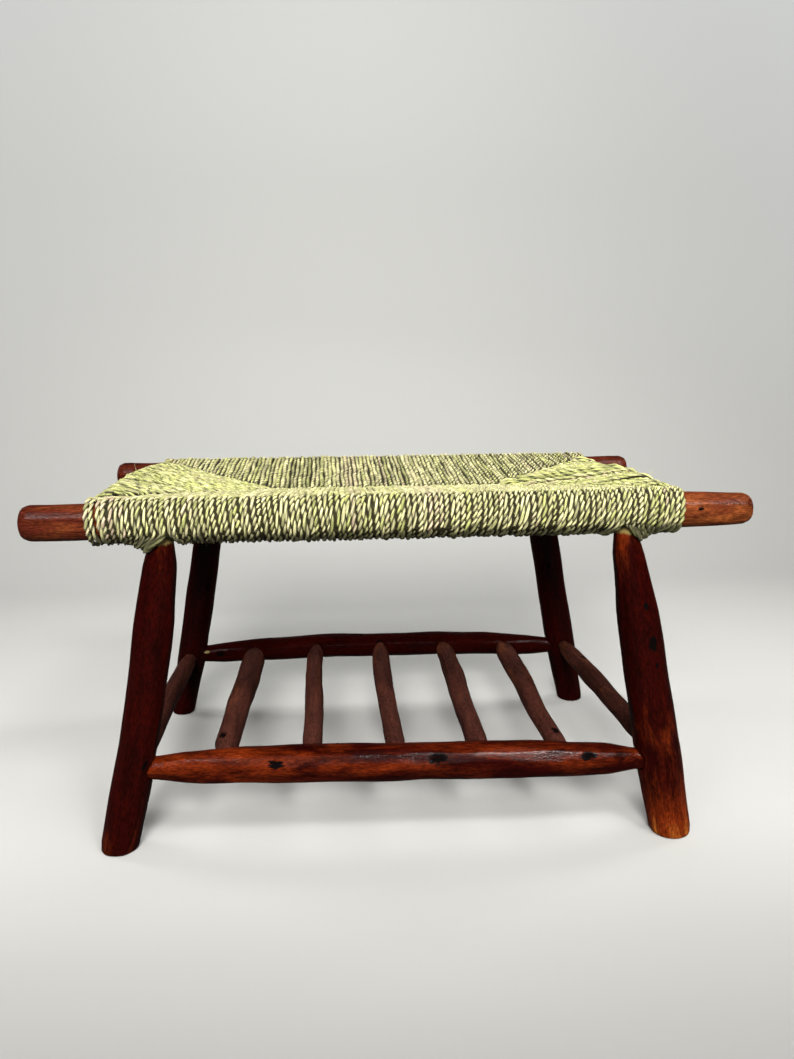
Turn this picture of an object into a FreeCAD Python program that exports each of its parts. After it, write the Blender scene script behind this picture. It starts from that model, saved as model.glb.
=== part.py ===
"""Low bench of shaved poles with a cord seat woven round its frame.

Two long seat poles and two end poles make the seat frame. Four splayed legs
are tenoned into the long poles from below. Four stretchers join the legs near
the floor, and five slats between the long stretchers make a shelf. The seat
is four mitred panels of wound cord, stuffed between their two layers, that
meet in a valley along the middle.

Millimetres. X runs along the seat, Y from front to back, Z up from the floor.
"""
import FreeCAD, Part
import math
import os
import Sketcher

# Driving dimensions: name, value, what it measures
SIZES = [
    ("rail_length", 830, "long seat pole, end to end"),
    ("rail_spacing", 417, "between the long poles' axes"),
    ("rail_height", 405, "seat poles' axes above the floor"),
    ("rail_dia", 42, "long pole where it is woven over"),
    ("rail_left_dia", 41.5, "long pole at its left end"),
    ("rail_right_dia", 37.5, "long pole at its right end"),
    ("rail_end_round", 11, "rounding of a long pole's ends"),
    ("end_rail_spacing", 636, "between the end poles' axes"),
    ("end_rail_dia", 34, "end pole"),
    ("end_rail_tenon_dia", 22, "end pole's tenon"),
    ("end_rail_tenon_stop", 5, "from a long pole's axis to that tenon's end"),
    ("end_rail_taper", 24, "length of an end pole's taper"),
    ("joint_clearance", 0.1, "round a tenon, on the radius"),
    ("mouth_gap", 4, "from a leg's side to where a tenon starts to thicken"),
    ("tenon_end_gap", 0.3, "between a tenon's end and its mortise's bottom"),
    ("cord_dia", 5.3, "seat cord"),
    ("weave_clearance", 0.2, "between cord and pole, and between panels"),
    ("valley_thickness", 10.6, "panel where it comes to the valley"),
    ("leg_top_x", 262, "from the middle to a leg's axis at the seat pole"),
    ("leg_tenon_dia", 26, "leg's tenon"),
    ("leg_tenon_rise", 8, "bottom of the leg's mortise above the seat pole's axis"),
    ("leg_tenon_gap", 3, "between that slanting bottom and the level top of the tenon"),
    ("leg_neck_gap", 1.5, "from a seat pole down to where a leg's tenon starts to thicken"),
    ("leg_taper", 95, "length of a leg's taper below the seat pole"),
    ("leg_opening_dia", 37, "opening in the weave round a leg"),
    ("ankle_height", 85, "where a leg's lower thickness is measured"),
    ("foot_bevel", 4, "bevel round a foot, on the radius"),
    ("foot_bevel_height", 9, "height of that bevel"),
    ("front_left_foot_x", 340, "from the middle to the foot"),
    ("front_left_foot_y", 196, "from the middle to the foot"),
    ("front_left_bow", 6.5, "inward bow at mid height"),
    ("front_left_thigh_dia", 46, "upper thickness"),
    ("front_left_ankle_dia", 46.5, "lower thickness"),
    ("front_left_foot_dia", 44, "foot above its bevel"),
    ("front_right_foot_x", 338, "from the middle to the foot"),
    ("front_right_foot_y", 215, "from the middle to the foot"),
    ("front_right_bow", 0, "inward bow at mid height"),
    ("front_right_thigh_dia", 50.5, "upper thickness"),
    ("front_right_ankle_dia", 55.5, "lower thickness"),
    ("front_right_foot_dia", 50, "foot above its bevel"),
    ("back_left_foot_x", 336, "from the middle to the foot"),
    ("back_left_foot_y", 212, "from the middle to the foot"),
    ("back_left_bow", 2, "inward bow at mid height"),
    ("back_left_thigh_dia", 47, "upper thickness"),
    ("back_left_ankle_dia", 45.5, "lower thickness"),
    ("back_left_foot_dia", 37, "foot above its bevel"),
    ("back_right_foot_x", 333, "from the middle to the foot"),
    ("back_right_foot_y", 210, "from the middle to the foot"),
    ("back_right_bow", 3, "inward bow at mid height"),
    ("back_right_thigh_dia", 48, "upper thickness"),
    ("back_right_ankle_dia", 48.5, "lower thickness"),
    ("back_right_foot_dia", 42, "foot above its bevel"),
    ("long_tenon_dia", 26, "long stretcher's tenon"),
    ("long_taper", 100, "length of a long stretcher's taper"),
    ("side_tenon_dia", 18, "side stretcher's tenon"),
    ("side_tenon_stop", 2, "from a leg's axis to that tenon's end"),
    ("side_taper", 45, "length of a side stretcher's taper"),
    ("tenon_wall", 2.5, "wood between the two tenons in a leg"),
    ("front_stretcher_left_height", 105, "axis at the left leg"),
    ("front_stretcher_right_height", 97, "axis at the right leg"),
    ("front_stretcher_dia", 44.5, "thickness along the middle"),
    ("front_stretcher_bow", 2, "rise at the middle"),
    ("back_stretcher_left_height", 102, "axis at the left leg"),
    ("back_stretcher_right_height", 98, "axis at the right leg"),
    ("back_stretcher_dia", 38, "thickness along the middle"),
    ("back_stretcher_bow", 9.5, "rise at the middle"),
    ("left_stretcher_front_height", 99, "axis at the front leg"),
    ("left_stretcher_back_height", 101, "axis at the back leg"),
    ("left_stretcher_dia", 27, "thickness along the middle"),
    ("left_stretcher_bow", 2, "outward bow at the middle"),
    ("right_stretcher_front_height", 105, "axis at the front leg"),
    ("right_stretcher_back_height", 103, "axis at the back leg"),
    ("right_stretcher_dia", 28, "thickness along the middle"),
    ("right_stretcher_bow", 1, "outward bow at the middle"),
    ("slat_tenon_dia", 16, "slat's tenon"),
    ("slat_tenon_stop", 2, "from a stretcher's axis to a slat's end"),
    ("slat_taper", 30, "length of a slat's taper"),
    ("slat_1_x", -210, "from the middle to the slat"),
    ("slat_1_front_dia", 31, "front third"),
    ("slat_1_back_dia", 36, "back third"),
    ("slat_1_front_bend", -3, "sideways at the front third"),
    ("slat_1_back_bend", 1, "sideways at the back third"),
    ("slat_2_x", -107, "from the middle to the slat"),
    ("slat_2_front_dia", 26, "front third"),
    ("slat_2_back_dia", 26, "back third"),
    ("slat_2_front_bend", 2, "sideways at the front third"),
    ("slat_2_back_bend", -2, "sideways at the back third"),
    ("slat_3_x", 0, "from the middle to the slat"),
    ("slat_3_front_dia", 25, "front third"),
    ("slat_3_back_dia", 28, "back third"),
    ("slat_3_front_bend", -3, "sideways at the front third"),
    ("slat_3_back_bend", -4, "sideways at the back third"),
    ("slat_4_x", 105, "from the middle to the slat"),
    ("slat_4_front_dia", 28, "front third"),
    ("slat_4_back_dia", 30, "back third"),
    ("slat_4_front_bend", -2, "sideways at the front third"),
    ("slat_4_back_bend", 1.5, "sideways at the back third"),
    ("slat_5_x", 206, "from the middle to the slat"),
    ("slat_5_front_dia", 26, "front third"),
    ("slat_5_back_dia", 32, "back third"),
    ("slat_5_front_bend", -3, "sideways at the front third"),
    ("slat_5_back_bend", 2, "sideways at the back third"),
]

# A shaved end: share of the taper's length, share of the growth in thickness
SHAVED_END = ((0.0, 0.0), (0.3, 0.5), (1.0, 0.94))
# A rounded end: share of its length, share of its drop in radius
ROUNDED_END = ((0.0, 1.0), (0.293, 0.293), (1.0, 0.0))
# Flats that the drawknife leaves round a pole
POLE_FLATS = 16
# Brings each cubic to its full bend at its own third of a pole
CUBIC_PEAK = 13.5
SLAT_COUNT = 5
MITRE_ANGLE = 45
# Starting shapes of the sketches, before their sizes are bound
FIRST_POLE_RADIUS = 20.0
FIRST_WRAP = {"radius": 25.0, "reach": 180.0, "half_gap": 5.0}
# Long enough to pass right through any pole or panel
THROUGH = 900

# Each leg's side of the bench: X sign, Y sign
LEGS = {
    "front_left": (-1, -1),
    "front_right": (1, -1),
    "back_left": (-1, 1),
    "back_right": (1, 1),
}

doc = FreeCAD.newDocument("woven_seat_bench")
sheet = doc.addObject("Spreadsheet::Sheet", "Sizes")
for row, (alias, value, note) in enumerate(SIZES, start=1):
    sheet.set(f"A{row}", alias.replace("_", " "))
    sheet.set(f"B{row}", str(value))
    sheet.setAlias(f"B{row}", alias)
    sheet.set(f"C{row}", note)
doc.recompute()


# Places, as expressions of the sheet's sizes

RAIL_Y = "(Sizes.rail_spacing / 2)"
END_RAIL_X = "(Sizes.end_rail_spacing / 2)"
# The outer cord lies beside the end pole, at half its own thickness
WEAVE_END = f"({END_RAIL_X} + Sizes.end_rail_dia / 2 + Sizes.cord_dia / 2)"
# The mitres start at the long pole's inner face and run in at 45 degrees
WEAVE_INNER_Y = f"({RAIL_Y} - Sizes.rail_dia / 2)"
VALLEY_END = f"({WEAVE_END} - {WEAVE_INNER_Y})"
LEG_MOUTH = "(Sizes.rail_height - Sizes.rail_dia / 2)"
LEG_TOP = "(Sizes.rail_height + Sizes.leg_tenon_rise)"
LONG_TENON_STOP = "(Sizes.side_tenon_dia / 2 + Sizes.tenon_wall)"


def leg_point(leg, height):
    """Point of a leg's bowed axis at a height."""
    side_x, side_y = LEGS[leg]
    share = f"(({height}) / Sizes.rail_height)"
    foot_x, foot_y, bow = (f"Sizes.{leg}_{part}" for part in ("foot_x", "foot_y", "bow"))
    bowed_in = f"4 * {bow} * {share} * (1 - {share})"
    x = f"{side_x} * ({foot_x} + (Sizes.leg_top_x - {foot_x}) * {share} - {bowed_in})"
    y = f"{side_y} * ({foot_y} + ({RAIL_Y} - {foot_y}) * {share})"
    return x, y, height


def shifted(point, axis, distance):
    """The point moved along one axis."""
    moved = list(point)
    moved[axis] = f"({moved[axis]} + ({distance}))"
    return tuple(moved)


def stretcher_ends(row):
    """Mortise bottoms of the front or back stretcher, left end first."""
    left = leg_point(f"{row}_left", f"Sizes.{row}_stretcher_left_height")
    right = leg_point(f"{row}_right", f"Sizes.{row}_stretcher_right_height")
    return shifted(left, 0, LONG_TENON_STOP), shifted(right, 0, f"-{LONG_TENON_STOP}")


def stretcher_point(row, x):
    """Point of the front or back stretcher's bowed axis at an X."""
    start, end = stretcher_ends(row)
    share = f"((({x}) - ({start[0]})) / (({end[0]}) - ({start[0]})))"
    bow = f"4 * Sizes.{row}_stretcher_bow * {share} * (1 - {share})"
    y, z = (f"(({a}) + (({b}) - ({a})) * {share})" for a, b in zip(start[1:], end[1:]))
    return x, y, f"({z} + {bow})"


# Building blocks

def aim(thing, start, end):
    """Put a thing's own Z axis on start, pointing at end."""
    dx, dy, dz = (f"(({b}) - ({a}))" for a, b in zip(start, end))
    base = f"create(<<vector>>; {'; '.join(start)})"
    axis = f"create(<<vector>>; -{dy}; {dx}; 0)"
    angle = f"acos({dz} / sqrt({dx}^2 + {dy}^2 + {dz}^2))"
    rotation = f"create(<<rotation>>; {axis}; {angle})"
    thing.setExpression("Placement", f"create(<<placement>>; {base}; {rotation})")


def distance(start, end):
    """Length from one point to another."""
    squares = " + ".join(f"(({b}) - ({a}))^2" for a, b in zip(start, end))
    return f"sqrt({squares})"


def plane(body, role):
    """One of a body's own origin planes."""
    return next(feature for feature in body.Origin.OriginFeatures if feature.Role == role)


def new_sketch(body, name, role, offsets):
    """Sketch on an origin plane, moved by three offsets in the plane's own axes."""
    sketch = body.newObject("Sketcher::SketchObject", name)
    sketch.AttachmentSupport = [(plane(body, role), "")]
    sketch.MapMode = "FlatFace"
    for axis, offset in zip("xyz", offsets):
        sketch.setExpression(f"AttachmentOffset.Base.{axis}", offset)
    return sketch


def bound(sketch, value, *constraint):
    """Add a constraint and bind its value to an expression."""
    index = sketch.addConstraint(Sketcher.Constraint(*constraint))
    sketch.setExpression(f"Constraints[{index}]", value)


def flats(body, name, offsets, dia):
    """Many-sided section of a shaved pole, across a body's Z axis."""
    sketch = new_sketch(body, name, "XY_Plane", offsets)
    corners = []
    for number in range(POLE_FLATS + 1):
        turn = 2 * math.pi * number / POLE_FLATS
        corners.append(FreeCAD.Vector(math.cos(turn), math.sin(turn), 0) * FIRST_POLE_RADIUS)
    sketch.addGeometry([Part.LineSegment(a, b) for a, b in zip(corners, corners[1:])])
    circle = Part.Circle(FreeCAD.Vector(), FreeCAD.Vector(0, 0, 1), FIRST_POLE_RADIUS)
    rim = sketch.addGeometry(circle, True)
    rules = [("Coincident", rim, 3, -1, 1), ("PointOnObject", 0, 1, -1)]
    for number in range(POLE_FLATS):
        rules.append(("Coincident", number, 2, (number + 1) % POLE_FLATS, 1))
        rules.append(("PointOnObject", number, 1, rim))
    rules += [("Equal", 0, number) for number in range(1, POLE_FLATS)]
    sketch.addConstraint([Sketcher.Constraint(*rule) for rule in rules])
    bound(sketch, f"({dia}) / 2", "Radius", rim, FIRST_POLE_RADIUS)
    return sketch


def loft(body, name, sections, kind="AdditiveLoft"):
    """Straight-sided loft through sections in order."""
    feature = body.newObject(f"PartDesign::{kind}", name)
    feature.Profile = (sections[0], [""])
    feature.Sections = [(section, [""]) for section in sections[1:]]
    feature.Ruled = True
    return feature


def shaved(tenon_dia, full_dia):
    """Distance share and thickness of each section of a shaved end."""
    return [(share, f"{tenon_dia} + {growth} * ({full_dia} - {tenon_dia})") for share, growth in SHAVED_END]


def bent(place, mouths, bends):
    """Sideways offset of a crooked pole: the cubic through its two bends and its straight ends."""
    share = f"((({place}) - {mouths[0]}) / ({mouths[1]} - {mouths[0]}))"
    first = f"{CUBIC_PEAK} * ({bends[0]}) * {share} * (2 / 3 - {share}) * (1 - {share})"
    last = f"{CUBIC_PEAK} * ({bends[1]}) * {share} * ({share} - 1 / 3) * (1 - {share})"
    return f"{first} + {last}"


def round_bar(name, start, end, dia, length):
    """Round cutter from start towards end."""
    bar = doc.addObject("Part::Cylinder", name)
    bar.setExpression("Radius", f"({dia}) / 2")
    bar.setExpression("Height", length)
    aim(bar, start, end)
    return bar


def mortise(name, start, end, tenon_dia, reach):
    """Cutter for a tenon's round hole, from its bottom at start towards end."""
    return round_bar(name, start, end, f"{tenon_dia} + 2 * Sizes.joint_clearance", reach)


def pole(name, start, end, tenon_dia, tenon_lengths, taper, dias, bends):
    """Pole between two mortise bottoms, shaved at each end to a straight tenon.

    dias and bends are the thickness and the sideways offset at the first and
    the last third of its length, along the body's own X axis.
    """
    body = doc.addObject("PartDesign::Body", f"{name}_pole")
    length = distance(start, end)
    mouths = (tenon_lengths[0], f"({length} - {tenon_lengths[1]})")
    sections = []
    for share, dia in shaved(tenon_dia, dias[0]):
        sections.append((f"{mouths[0]} + {share} * {taper}", dia))
    for number, dia in enumerate(dias, start=1):
        sections.append((f"{length} * {number} / 3", dia))
    for share, dia in shaved(tenon_dia, dias[1])[::-1]:
        sections.append((f"{mouths[1]} - {share} * {taper}", dia))
    places = [(bent(place, mouths, bends), "0", place) for place, dia in sections]
    places = [("0", "0", "Sizes.tenon_end_gap")] + places + [("0", "0", f"{length} - Sizes.tenon_end_gap")]
    thicknesses = [tenon_dia] + [dia for place, dia in sections] + [tenon_dia]
    outlines = [
        flats(body, f"{name}_section_{number}", place, dia)
        for number, (place, dia) in enumerate(zip(places, thicknesses))
    ]
    doc.recompute()
    loft(body, f"{name}_shaving", outlines)
    aim(body, start, end)
    return body


def finish(name, base, cutters=()):
    """Cut each cutter from a piece and give the result the piece's name."""
    for number, cutter in enumerate(cutters, start=1):
        cut = doc.addObject("Part::Cut", f"{name}_cut_{number}")
        cut.Base = base
        cut.Tool = cutter
        base = cut
    base.Label = name
    return base


# Seat frame

def rail_ends(row):
    """Ends of a long pole's axis, left end first."""
    y = f"{-1 if row == 'front' else 1} * {RAIL_Y}"
    return tuple((f"{end} * Sizes.rail_length / 2", y, "Sizes.rail_height") for end in (-1, 1))


def end_rail_points(side):
    """Mortise bottoms of an end pole, front end first."""
    x = f"{side} * {END_RAIL_X}"
    y = f"({RAIL_Y} - Sizes.end_rail_tenon_stop)"
    return (x, f"-{y}", "Sizes.rail_height"), (x, y, "Sizes.rail_height")


def leg_axis(name):
    """Bottom of a leg's mortise in the long pole, and the point on the leg's axis at its mouth."""
    return leg_point(name, LEG_TOP), leg_point(name, LEG_MOUTH)


def rail_sections():
    """Distance along a long pole from its left end and thickness there, with rounded ends."""
    sections = []
    for side, dia in ((-1, "Sizes.rail_left_dia"), (1, "Sizes.rail_right_dia")):
        rounded = [
            (f"Sizes.rail_length / 2 + {side} * (Sizes.rail_length / 2 - {along} * Sizes.rail_end_round)",
             f"{dia} - 2 * {drop} * Sizes.rail_end_round")
            for along, drop in ROUNDED_END
        ]
        rounded.append((f"Sizes.rail_length / 2 + {side} * {WEAVE_END}", "Sizes.rail_dia"))
        sections += rounded if side < 0 else rounded[::-1]
    return sections


def long_rail(row):
    """Long seat pole, thickest where it is woven over, with rounded ends."""
    name = f"{row}_seat_rail"
    body = doc.addObject("PartDesign::Body", f"{name}_pole")
    outlines = [
        flats(body, f"{name}_section_{number}", ("0", "0", place), dia)
        for number, (place, dia) in enumerate(rail_sections())
    ]
    doc.recompute()
    loft(body, f"{name}_shaving", outlines)
    aim(body, *rail_ends(row))

    holes = []
    for end in (-1, 1):
        front, back = end_rail_points(end)
        bottom, target = (front, back) if row == "front" else (back, front)
        holes.append(mortise(f"{name}_end_mortise_{end + 1}", bottom, target,
                             "Sizes.end_rail_tenon_dia", "Sizes.rail_dia"))
    for hand in ("left", "right"):
        top, mouth = leg_axis(f"{row}_{hand}")
        holes.append(mortise(f"{name}_{hand}_leg_mortise", top, mouth,
                             "Sizes.leg_tenon_dia", "Sizes.rail_dia"))
    return finish(name, body, holes)


def end_rail(hand):
    """End pole between the long poles, hidden in the weave."""
    name = f"{hand}_end_rail"
    start, end = end_rail_points(-1 if hand == "left" else 1)
    length = "(Sizes.rail_dia / 2 - Sizes.end_rail_tenon_stop)"
    dia = "Sizes.end_rail_dia"
    return finish(name, pole(name, start, end, "Sizes.end_rail_tenon_dia", (length, length),
                             "Sizes.end_rail_taper", (dia, dia), ("0", "0")))


# Legs and stretchers

def side_ends(hand):
    """Mortise bottoms of a side stretcher, front end first."""
    front = leg_point(f"front_{hand}", f"Sizes.{hand}_stretcher_front_height")
    back = leg_point(f"back_{hand}", f"Sizes.{hand}_stretcher_back_height")
    return shifted(front, 1, "Sizes.side_tenon_stop"), shifted(back, 1, "-Sizes.side_tenon_stop")


def leg(name):
    """Splayed and bowed leg: shaved neck, tenon above it, bevelled foot."""
    row, hand = name.split("_")
    body = doc.addObject("PartDesign::Body", f"{name}_leg_pole")
    thigh, ankle, foot = (f"Sizes.{name}_{part}_dia" for part in ("thigh", "ankle", "foot"))
    neck = f"({LEG_MOUTH} - Sizes.leg_neck_gap)"
    knee = f"(({neck} - Sizes.leg_taper + Sizes.ankle_height) / 2)"
    sections = [(f"{LEG_TOP} - Sizes.leg_tenon_gap", "Sizes.leg_tenon_dia")]
    for share, dia in shaved("Sizes.leg_tenon_dia", thigh):
        sections.append((f"{neck} - {share} * Sizes.leg_taper", dia))
    sections.append((knee, f"({thigh} + {ankle}) / 2"))
    sections.append(("Sizes.ankle_height", ankle))
    sections.append(("Sizes.foot_bevel_height", foot))
    sections.append(("0", f"{foot} - 2 * Sizes.foot_bevel"))
    outlines = [
        flats(body, f"{name}_leg_section_{number}", leg_point(name, height), dia)
        for number, (height, dia) in enumerate(sections)
    ]
    doc.recompute()
    loft(body, f"{name}_leg_shaving", outlines)

    left, right = stretcher_ends(row)
    start, end = (left, right) if hand == "left" else (right, left)
    long_hole = mortise(f"{name}_long_mortise", start, end, "Sizes.long_tenon_dia", thigh)
    front, back = side_ends(hand)
    start, end = (front, back) if row == "front" else (back, front)
    side_hole = mortise(f"{name}_side_mortise", start, end, "Sizes.side_tenon_dia", thigh)
    return finish(f"{name}_leg", body, (long_hole, side_hole))


def slat_points(number):
    """Mortise bottoms of a slat, front end first."""
    x = f"Sizes.slat_{number}_x"
    front = stretcher_point("front", x)
    back = stretcher_point("back", x)
    return shifted(front, 1, "Sizes.slat_tenon_stop"), shifted(back, 1, "-Sizes.slat_tenon_stop")


def long_stretcher(row):
    """Front or back stretcher, shaved to a carrot at both ends, holding the slats."""
    name = f"{row}_stretcher"
    start, end = stretcher_ends(row)
    dia = f"Sizes.{name}_dia"
    lengths = [
        f"(Sizes.{row}_{hand}_ankle_dia / 2 - {LONG_TENON_STOP} + Sizes.mouth_gap)"
        for hand in ("left", "right")
    ]
    # The sideways axis of this pole points down, and a third of a bow is 8/9 of it
    bend = f"-8 / 9 * Sizes.{name}_bow"
    body = pole(name, start, end, "Sizes.long_tenon_dia", lengths,
                "Sizes.long_taper", (dia, dia), (bend, bend))
    holes = []
    for number in range(1, SLAT_COUNT + 1):
        front, back = slat_points(number)
        bottom, target = (front, back) if row == "front" else (back, front)
        holes.append(mortise(f"{name}_slat_mortise_{number}", bottom, target, "Sizes.slat_tenon_dia", dia))
    return finish(name, body, holes)


def side_stretcher(hand):
    """Left or right stretcher between a front and a back leg."""
    name = f"{hand}_stretcher"
    start, end = side_ends(hand)
    dia = f"Sizes.{name}_dia"
    lengths = [
        f"(Sizes.{row}_{hand}_ankle_dia / 2 - Sizes.side_tenon_stop + Sizes.mouth_gap)"
        for row in ("front", "back")
    ]
    bend = f"{-1 if hand == 'left' else 1} * Sizes.{name}_bow"
    return finish(name, pole(name, start, end, "Sizes.side_tenon_dia", lengths,
                             "Sizes.side_taper", (dia, dia), (bend, bend)))


def slat(number):
    """Crooked shelf slat between the long stretchers."""
    name = f"shelf_slat_{number}"
    start, end = slat_points(number)
    prefix = f"Sizes.slat_{number}"
    lengths = [
        f"(Sizes.{row}_stretcher_dia / 2 - Sizes.slat_tenon_stop)"
        for row in ("front", "back")
    ]
    return finish(name, pole(name, start, end, "Sizes.slat_tenon_dia", lengths, "Sizes.slat_taper",
                             (f"{prefix}_front_dia", f"{prefix}_back_dia"),
                             (f"{prefix}_front_bend", f"{prefix}_back_bend")))


# Woven panels

def wrap_section(body, name, along, pole_y, radius, reach):
    """Section of cord wrapped round a pole and drawn to a flat edge at reach."""
    sketch = new_sketch(body, name, "YZ_Plane", (f"-{pole_y}", "Sizes.rail_height", along))
    first_radius, first_reach, first_half_gap = FIRST_WRAP.values()
    spread = math.hypot(first_reach, first_half_gap)
    lift = math.atan2(first_half_gap, first_reach) + math.acos(first_radius / spread)
    circle = Part.Circle(FreeCAD.Vector(), FreeCAD.Vector(0, 0, 1), first_radius)
    touch = FreeCAD.Vector(math.cos(lift), math.sin(lift), 0) * first_radius
    low_touch = FreeCAD.Vector(touch.x, -touch.y, 0)
    tip = FreeCAD.Vector(first_reach, first_half_gap, 0)
    low_tip = FreeCAD.Vector(tip.x, -tip.y, 0)
    sketch.addGeometry(Part.ArcOfCircle(circle, lift, 2 * math.pi - lift))
    sketch.addGeometry(Part.LineSegment(touch, tip))
    sketch.addGeometry(Part.LineSegment(tip, low_tip))
    sketch.addGeometry(Part.LineSegment(low_tip, low_touch))
    for constraint in (
        ("Coincident", 0, 3, -1, 1),
        ("Tangent", 0, 1, 1, 1),
        ("Coincident", 1, 2, 2, 1),
        ("Coincident", 2, 2, 3, 1),
        ("Tangent", 0, 2, 3, 2),
        ("Symmetric", 1, 2, 2, 2, -1),
    ):
        sketch.addConstraint(Sketcher.Constraint(*constraint))
    bound(sketch, radius, "Radius", 0, first_radius)
    bound(sketch, reach, "DistanceX", -1, 1, 1, 2, first_reach)
    bound(sketch, "Sizes.valley_thickness / 2", "DistanceY", -1, 1, 1, 2, first_half_gap)
    return sketch


def wrapped_panel(name, turn, pole_y, half_length, pole_dia, reach):
    """Stuffed panel wound round a pole along X, turned about Z to its side of the seat."""
    body = doc.addObject("PartDesign::Body", f"{name}_panel")
    radius = f"{pole_dia} / 2 + Sizes.weave_clearance + Sizes.cord_dia"
    sections = [
        wrap_section(body, f"{name}_section_{number}", end, pole_y, radius, reach)
        for number, end in enumerate((f"-{half_length}", half_length))
    ]
    doc.recompute()
    loft(body, f"{name}_wrap", sections)
    body.Placement = FreeCAD.Placement(FreeCAD.Vector(), FreeCAD.Rotation(FreeCAD.Vector(0, 0, 1), turn))
    return body


def pole_tunnel(name, start, end, pole_dia):
    """Cutter for the pole that a panel is wound round."""
    return round_bar(name, start, end, f"{pole_dia} + 2 * Sizes.weave_clearance", distance(start, end))


def mitre_cutter(name, side_x, side_y, keeps_long):
    """Block along one mitre, on the side of it that belongs to the neighbouring panel."""
    block = doc.addObject("Part::Box", name)
    block.Length = block.Width = block.Height = THROUGH
    # The block's own X axis runs out along the mitre and its width away from the kept panel
    outward = -MITRE_ANGLE if side_y < 0 else MITRE_ANGLE
    if side_x < 0:
        outward = 180 - outward
    width_is_left = (side_x * side_y < 0) == keeps_long
    turn = outward if width_is_left else outward - 90
    block.Placement.Rotation = FreeCAD.Rotation(FreeCAD.Vector(0, 0, 1), turn)
    gap = "Sizes.weave_clearance / 2 * sqrt(2)"
    start = f"{side_x} * ({VALLEY_END} {'-' if keeps_long else '+'} {gap})"
    block.setExpression("Placement.Base.x", start)
    block.setExpression("Placement.Base.z", f"-{THROUGH / 2}")
    return block


def long_weave(row):
    """Front or back panel: wound round a long pole, open round its legs, mitred at both ends."""
    name = f"{row}_weave"
    side = -1 if row == "front" else 1
    turn = 0 if row == "front" else 180
    reach = f"{RAIL_Y} - Sizes.weave_clearance / 2"
    panel = wrapped_panel(name, turn, RAIL_Y, WEAVE_END, "Sizes.rail_dia", reach)
    cutters = [mitre_cutter(f"{name}_mitre_{end + 1}", end, side, True) for end in (-1, 1)]
    cutters.append(pole_tunnel(f"{name}_tunnel", *rail_ends(row), "Sizes.rail_dia"))
    for end in (-1, 1):
        cutters.append(pole_tunnel(f"{name}_end_tunnel_{end + 1}", *end_rail_points(end),
                                   "Sizes.end_rail_dia"))
    for hand in ("left", "right"):
        cutters.append(round_bar(f"{name}_{hand}_opening", *leg_axis(f"{row}_{hand}"),
                                 "Sizes.leg_opening_dia", "Sizes.leg_taper"))
    return finish(name, panel, cutters)


def end_weave(hand):
    """Left or right panel: wound round an end pole, coming to a point at the valley's end."""
    name = f"{hand}_weave"
    side = -1 if hand == "left" else 1
    half_length = f"({WEAVE_INNER_Y} - Sizes.weave_clearance)"
    reach = f"{END_RAIL_X} - {VALLEY_END} - Sizes.weave_clearance"
    panel = wrapped_panel(name, side * 90, END_RAIL_X, half_length, "Sizes.end_rail_dia", reach)
    cutters = [mitre_cutter(f"{name}_mitre_{end + 1}", side, end, False) for end in (-1, 1)]
    cutters.append(pole_tunnel(f"{name}_tunnel", *end_rail_points(side), "Sizes.end_rail_dia"))
    return finish(name, panel, cutters)


pieces = [long_rail(row) for row in ("front", "back")]
pieces += [end_rail(hand) for hand in ("left", "right")]
pieces += [leg(name) for name in LEGS]
pieces += [long_stretcher(row) for row in ("front", "back")]
pieces += [side_stretcher(hand) for hand in ("left", "right")]
pieces += [slat(number) for number in range(1, SLAT_COUNT + 1)]
pieces += [long_weave(row) for row in ("front", "back")]
pieces += [end_weave(hand) for hand in ("left", "right")]
doc.recompute()

for thing in doc.Objects:
    if "Invalid" in thing.State or "Error" in thing.State:
        raise RuntimeError(f"{thing.Name} failed: {thing.State}")
for piece in pieces:
    if piece.Shape.isNull() or not piece.Shape.isValid() or len(piece.Shape.Solids) != 1:
        raise RuntimeError(f"{piece.Label} is not one sound solid")

os.makedirs("parts", exist_ok=True)
for piece in pieces:
    piece.Shape.exportStep(f"parts/{piece.Label}.step")
    print(f"{piece.Label}: {piece.Shape.Volume / 1000:.1f} cm3")
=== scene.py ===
"""Finish of a low bench of shaved poles with a seat of twisted grass cord.

The poles are copies of the frame's solids, reshaped with drawknife flats,
lumps and knots, under a dark stain and varnish. The seat is wound strand by
strand: each cord is a two-ply twist that runs from its mitre or the valley
over a pole and back along the underside.

Metres. X runs along the seat, Y from front to back, Z up from the floor.
"""
import math
from dataclasses import dataclass

import bmesh
import bpy
import numpy as np
from bpy.props import FloatProperty, FloatVectorProperty, PointerProperty
from mathutils import Matrix, Vector


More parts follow.
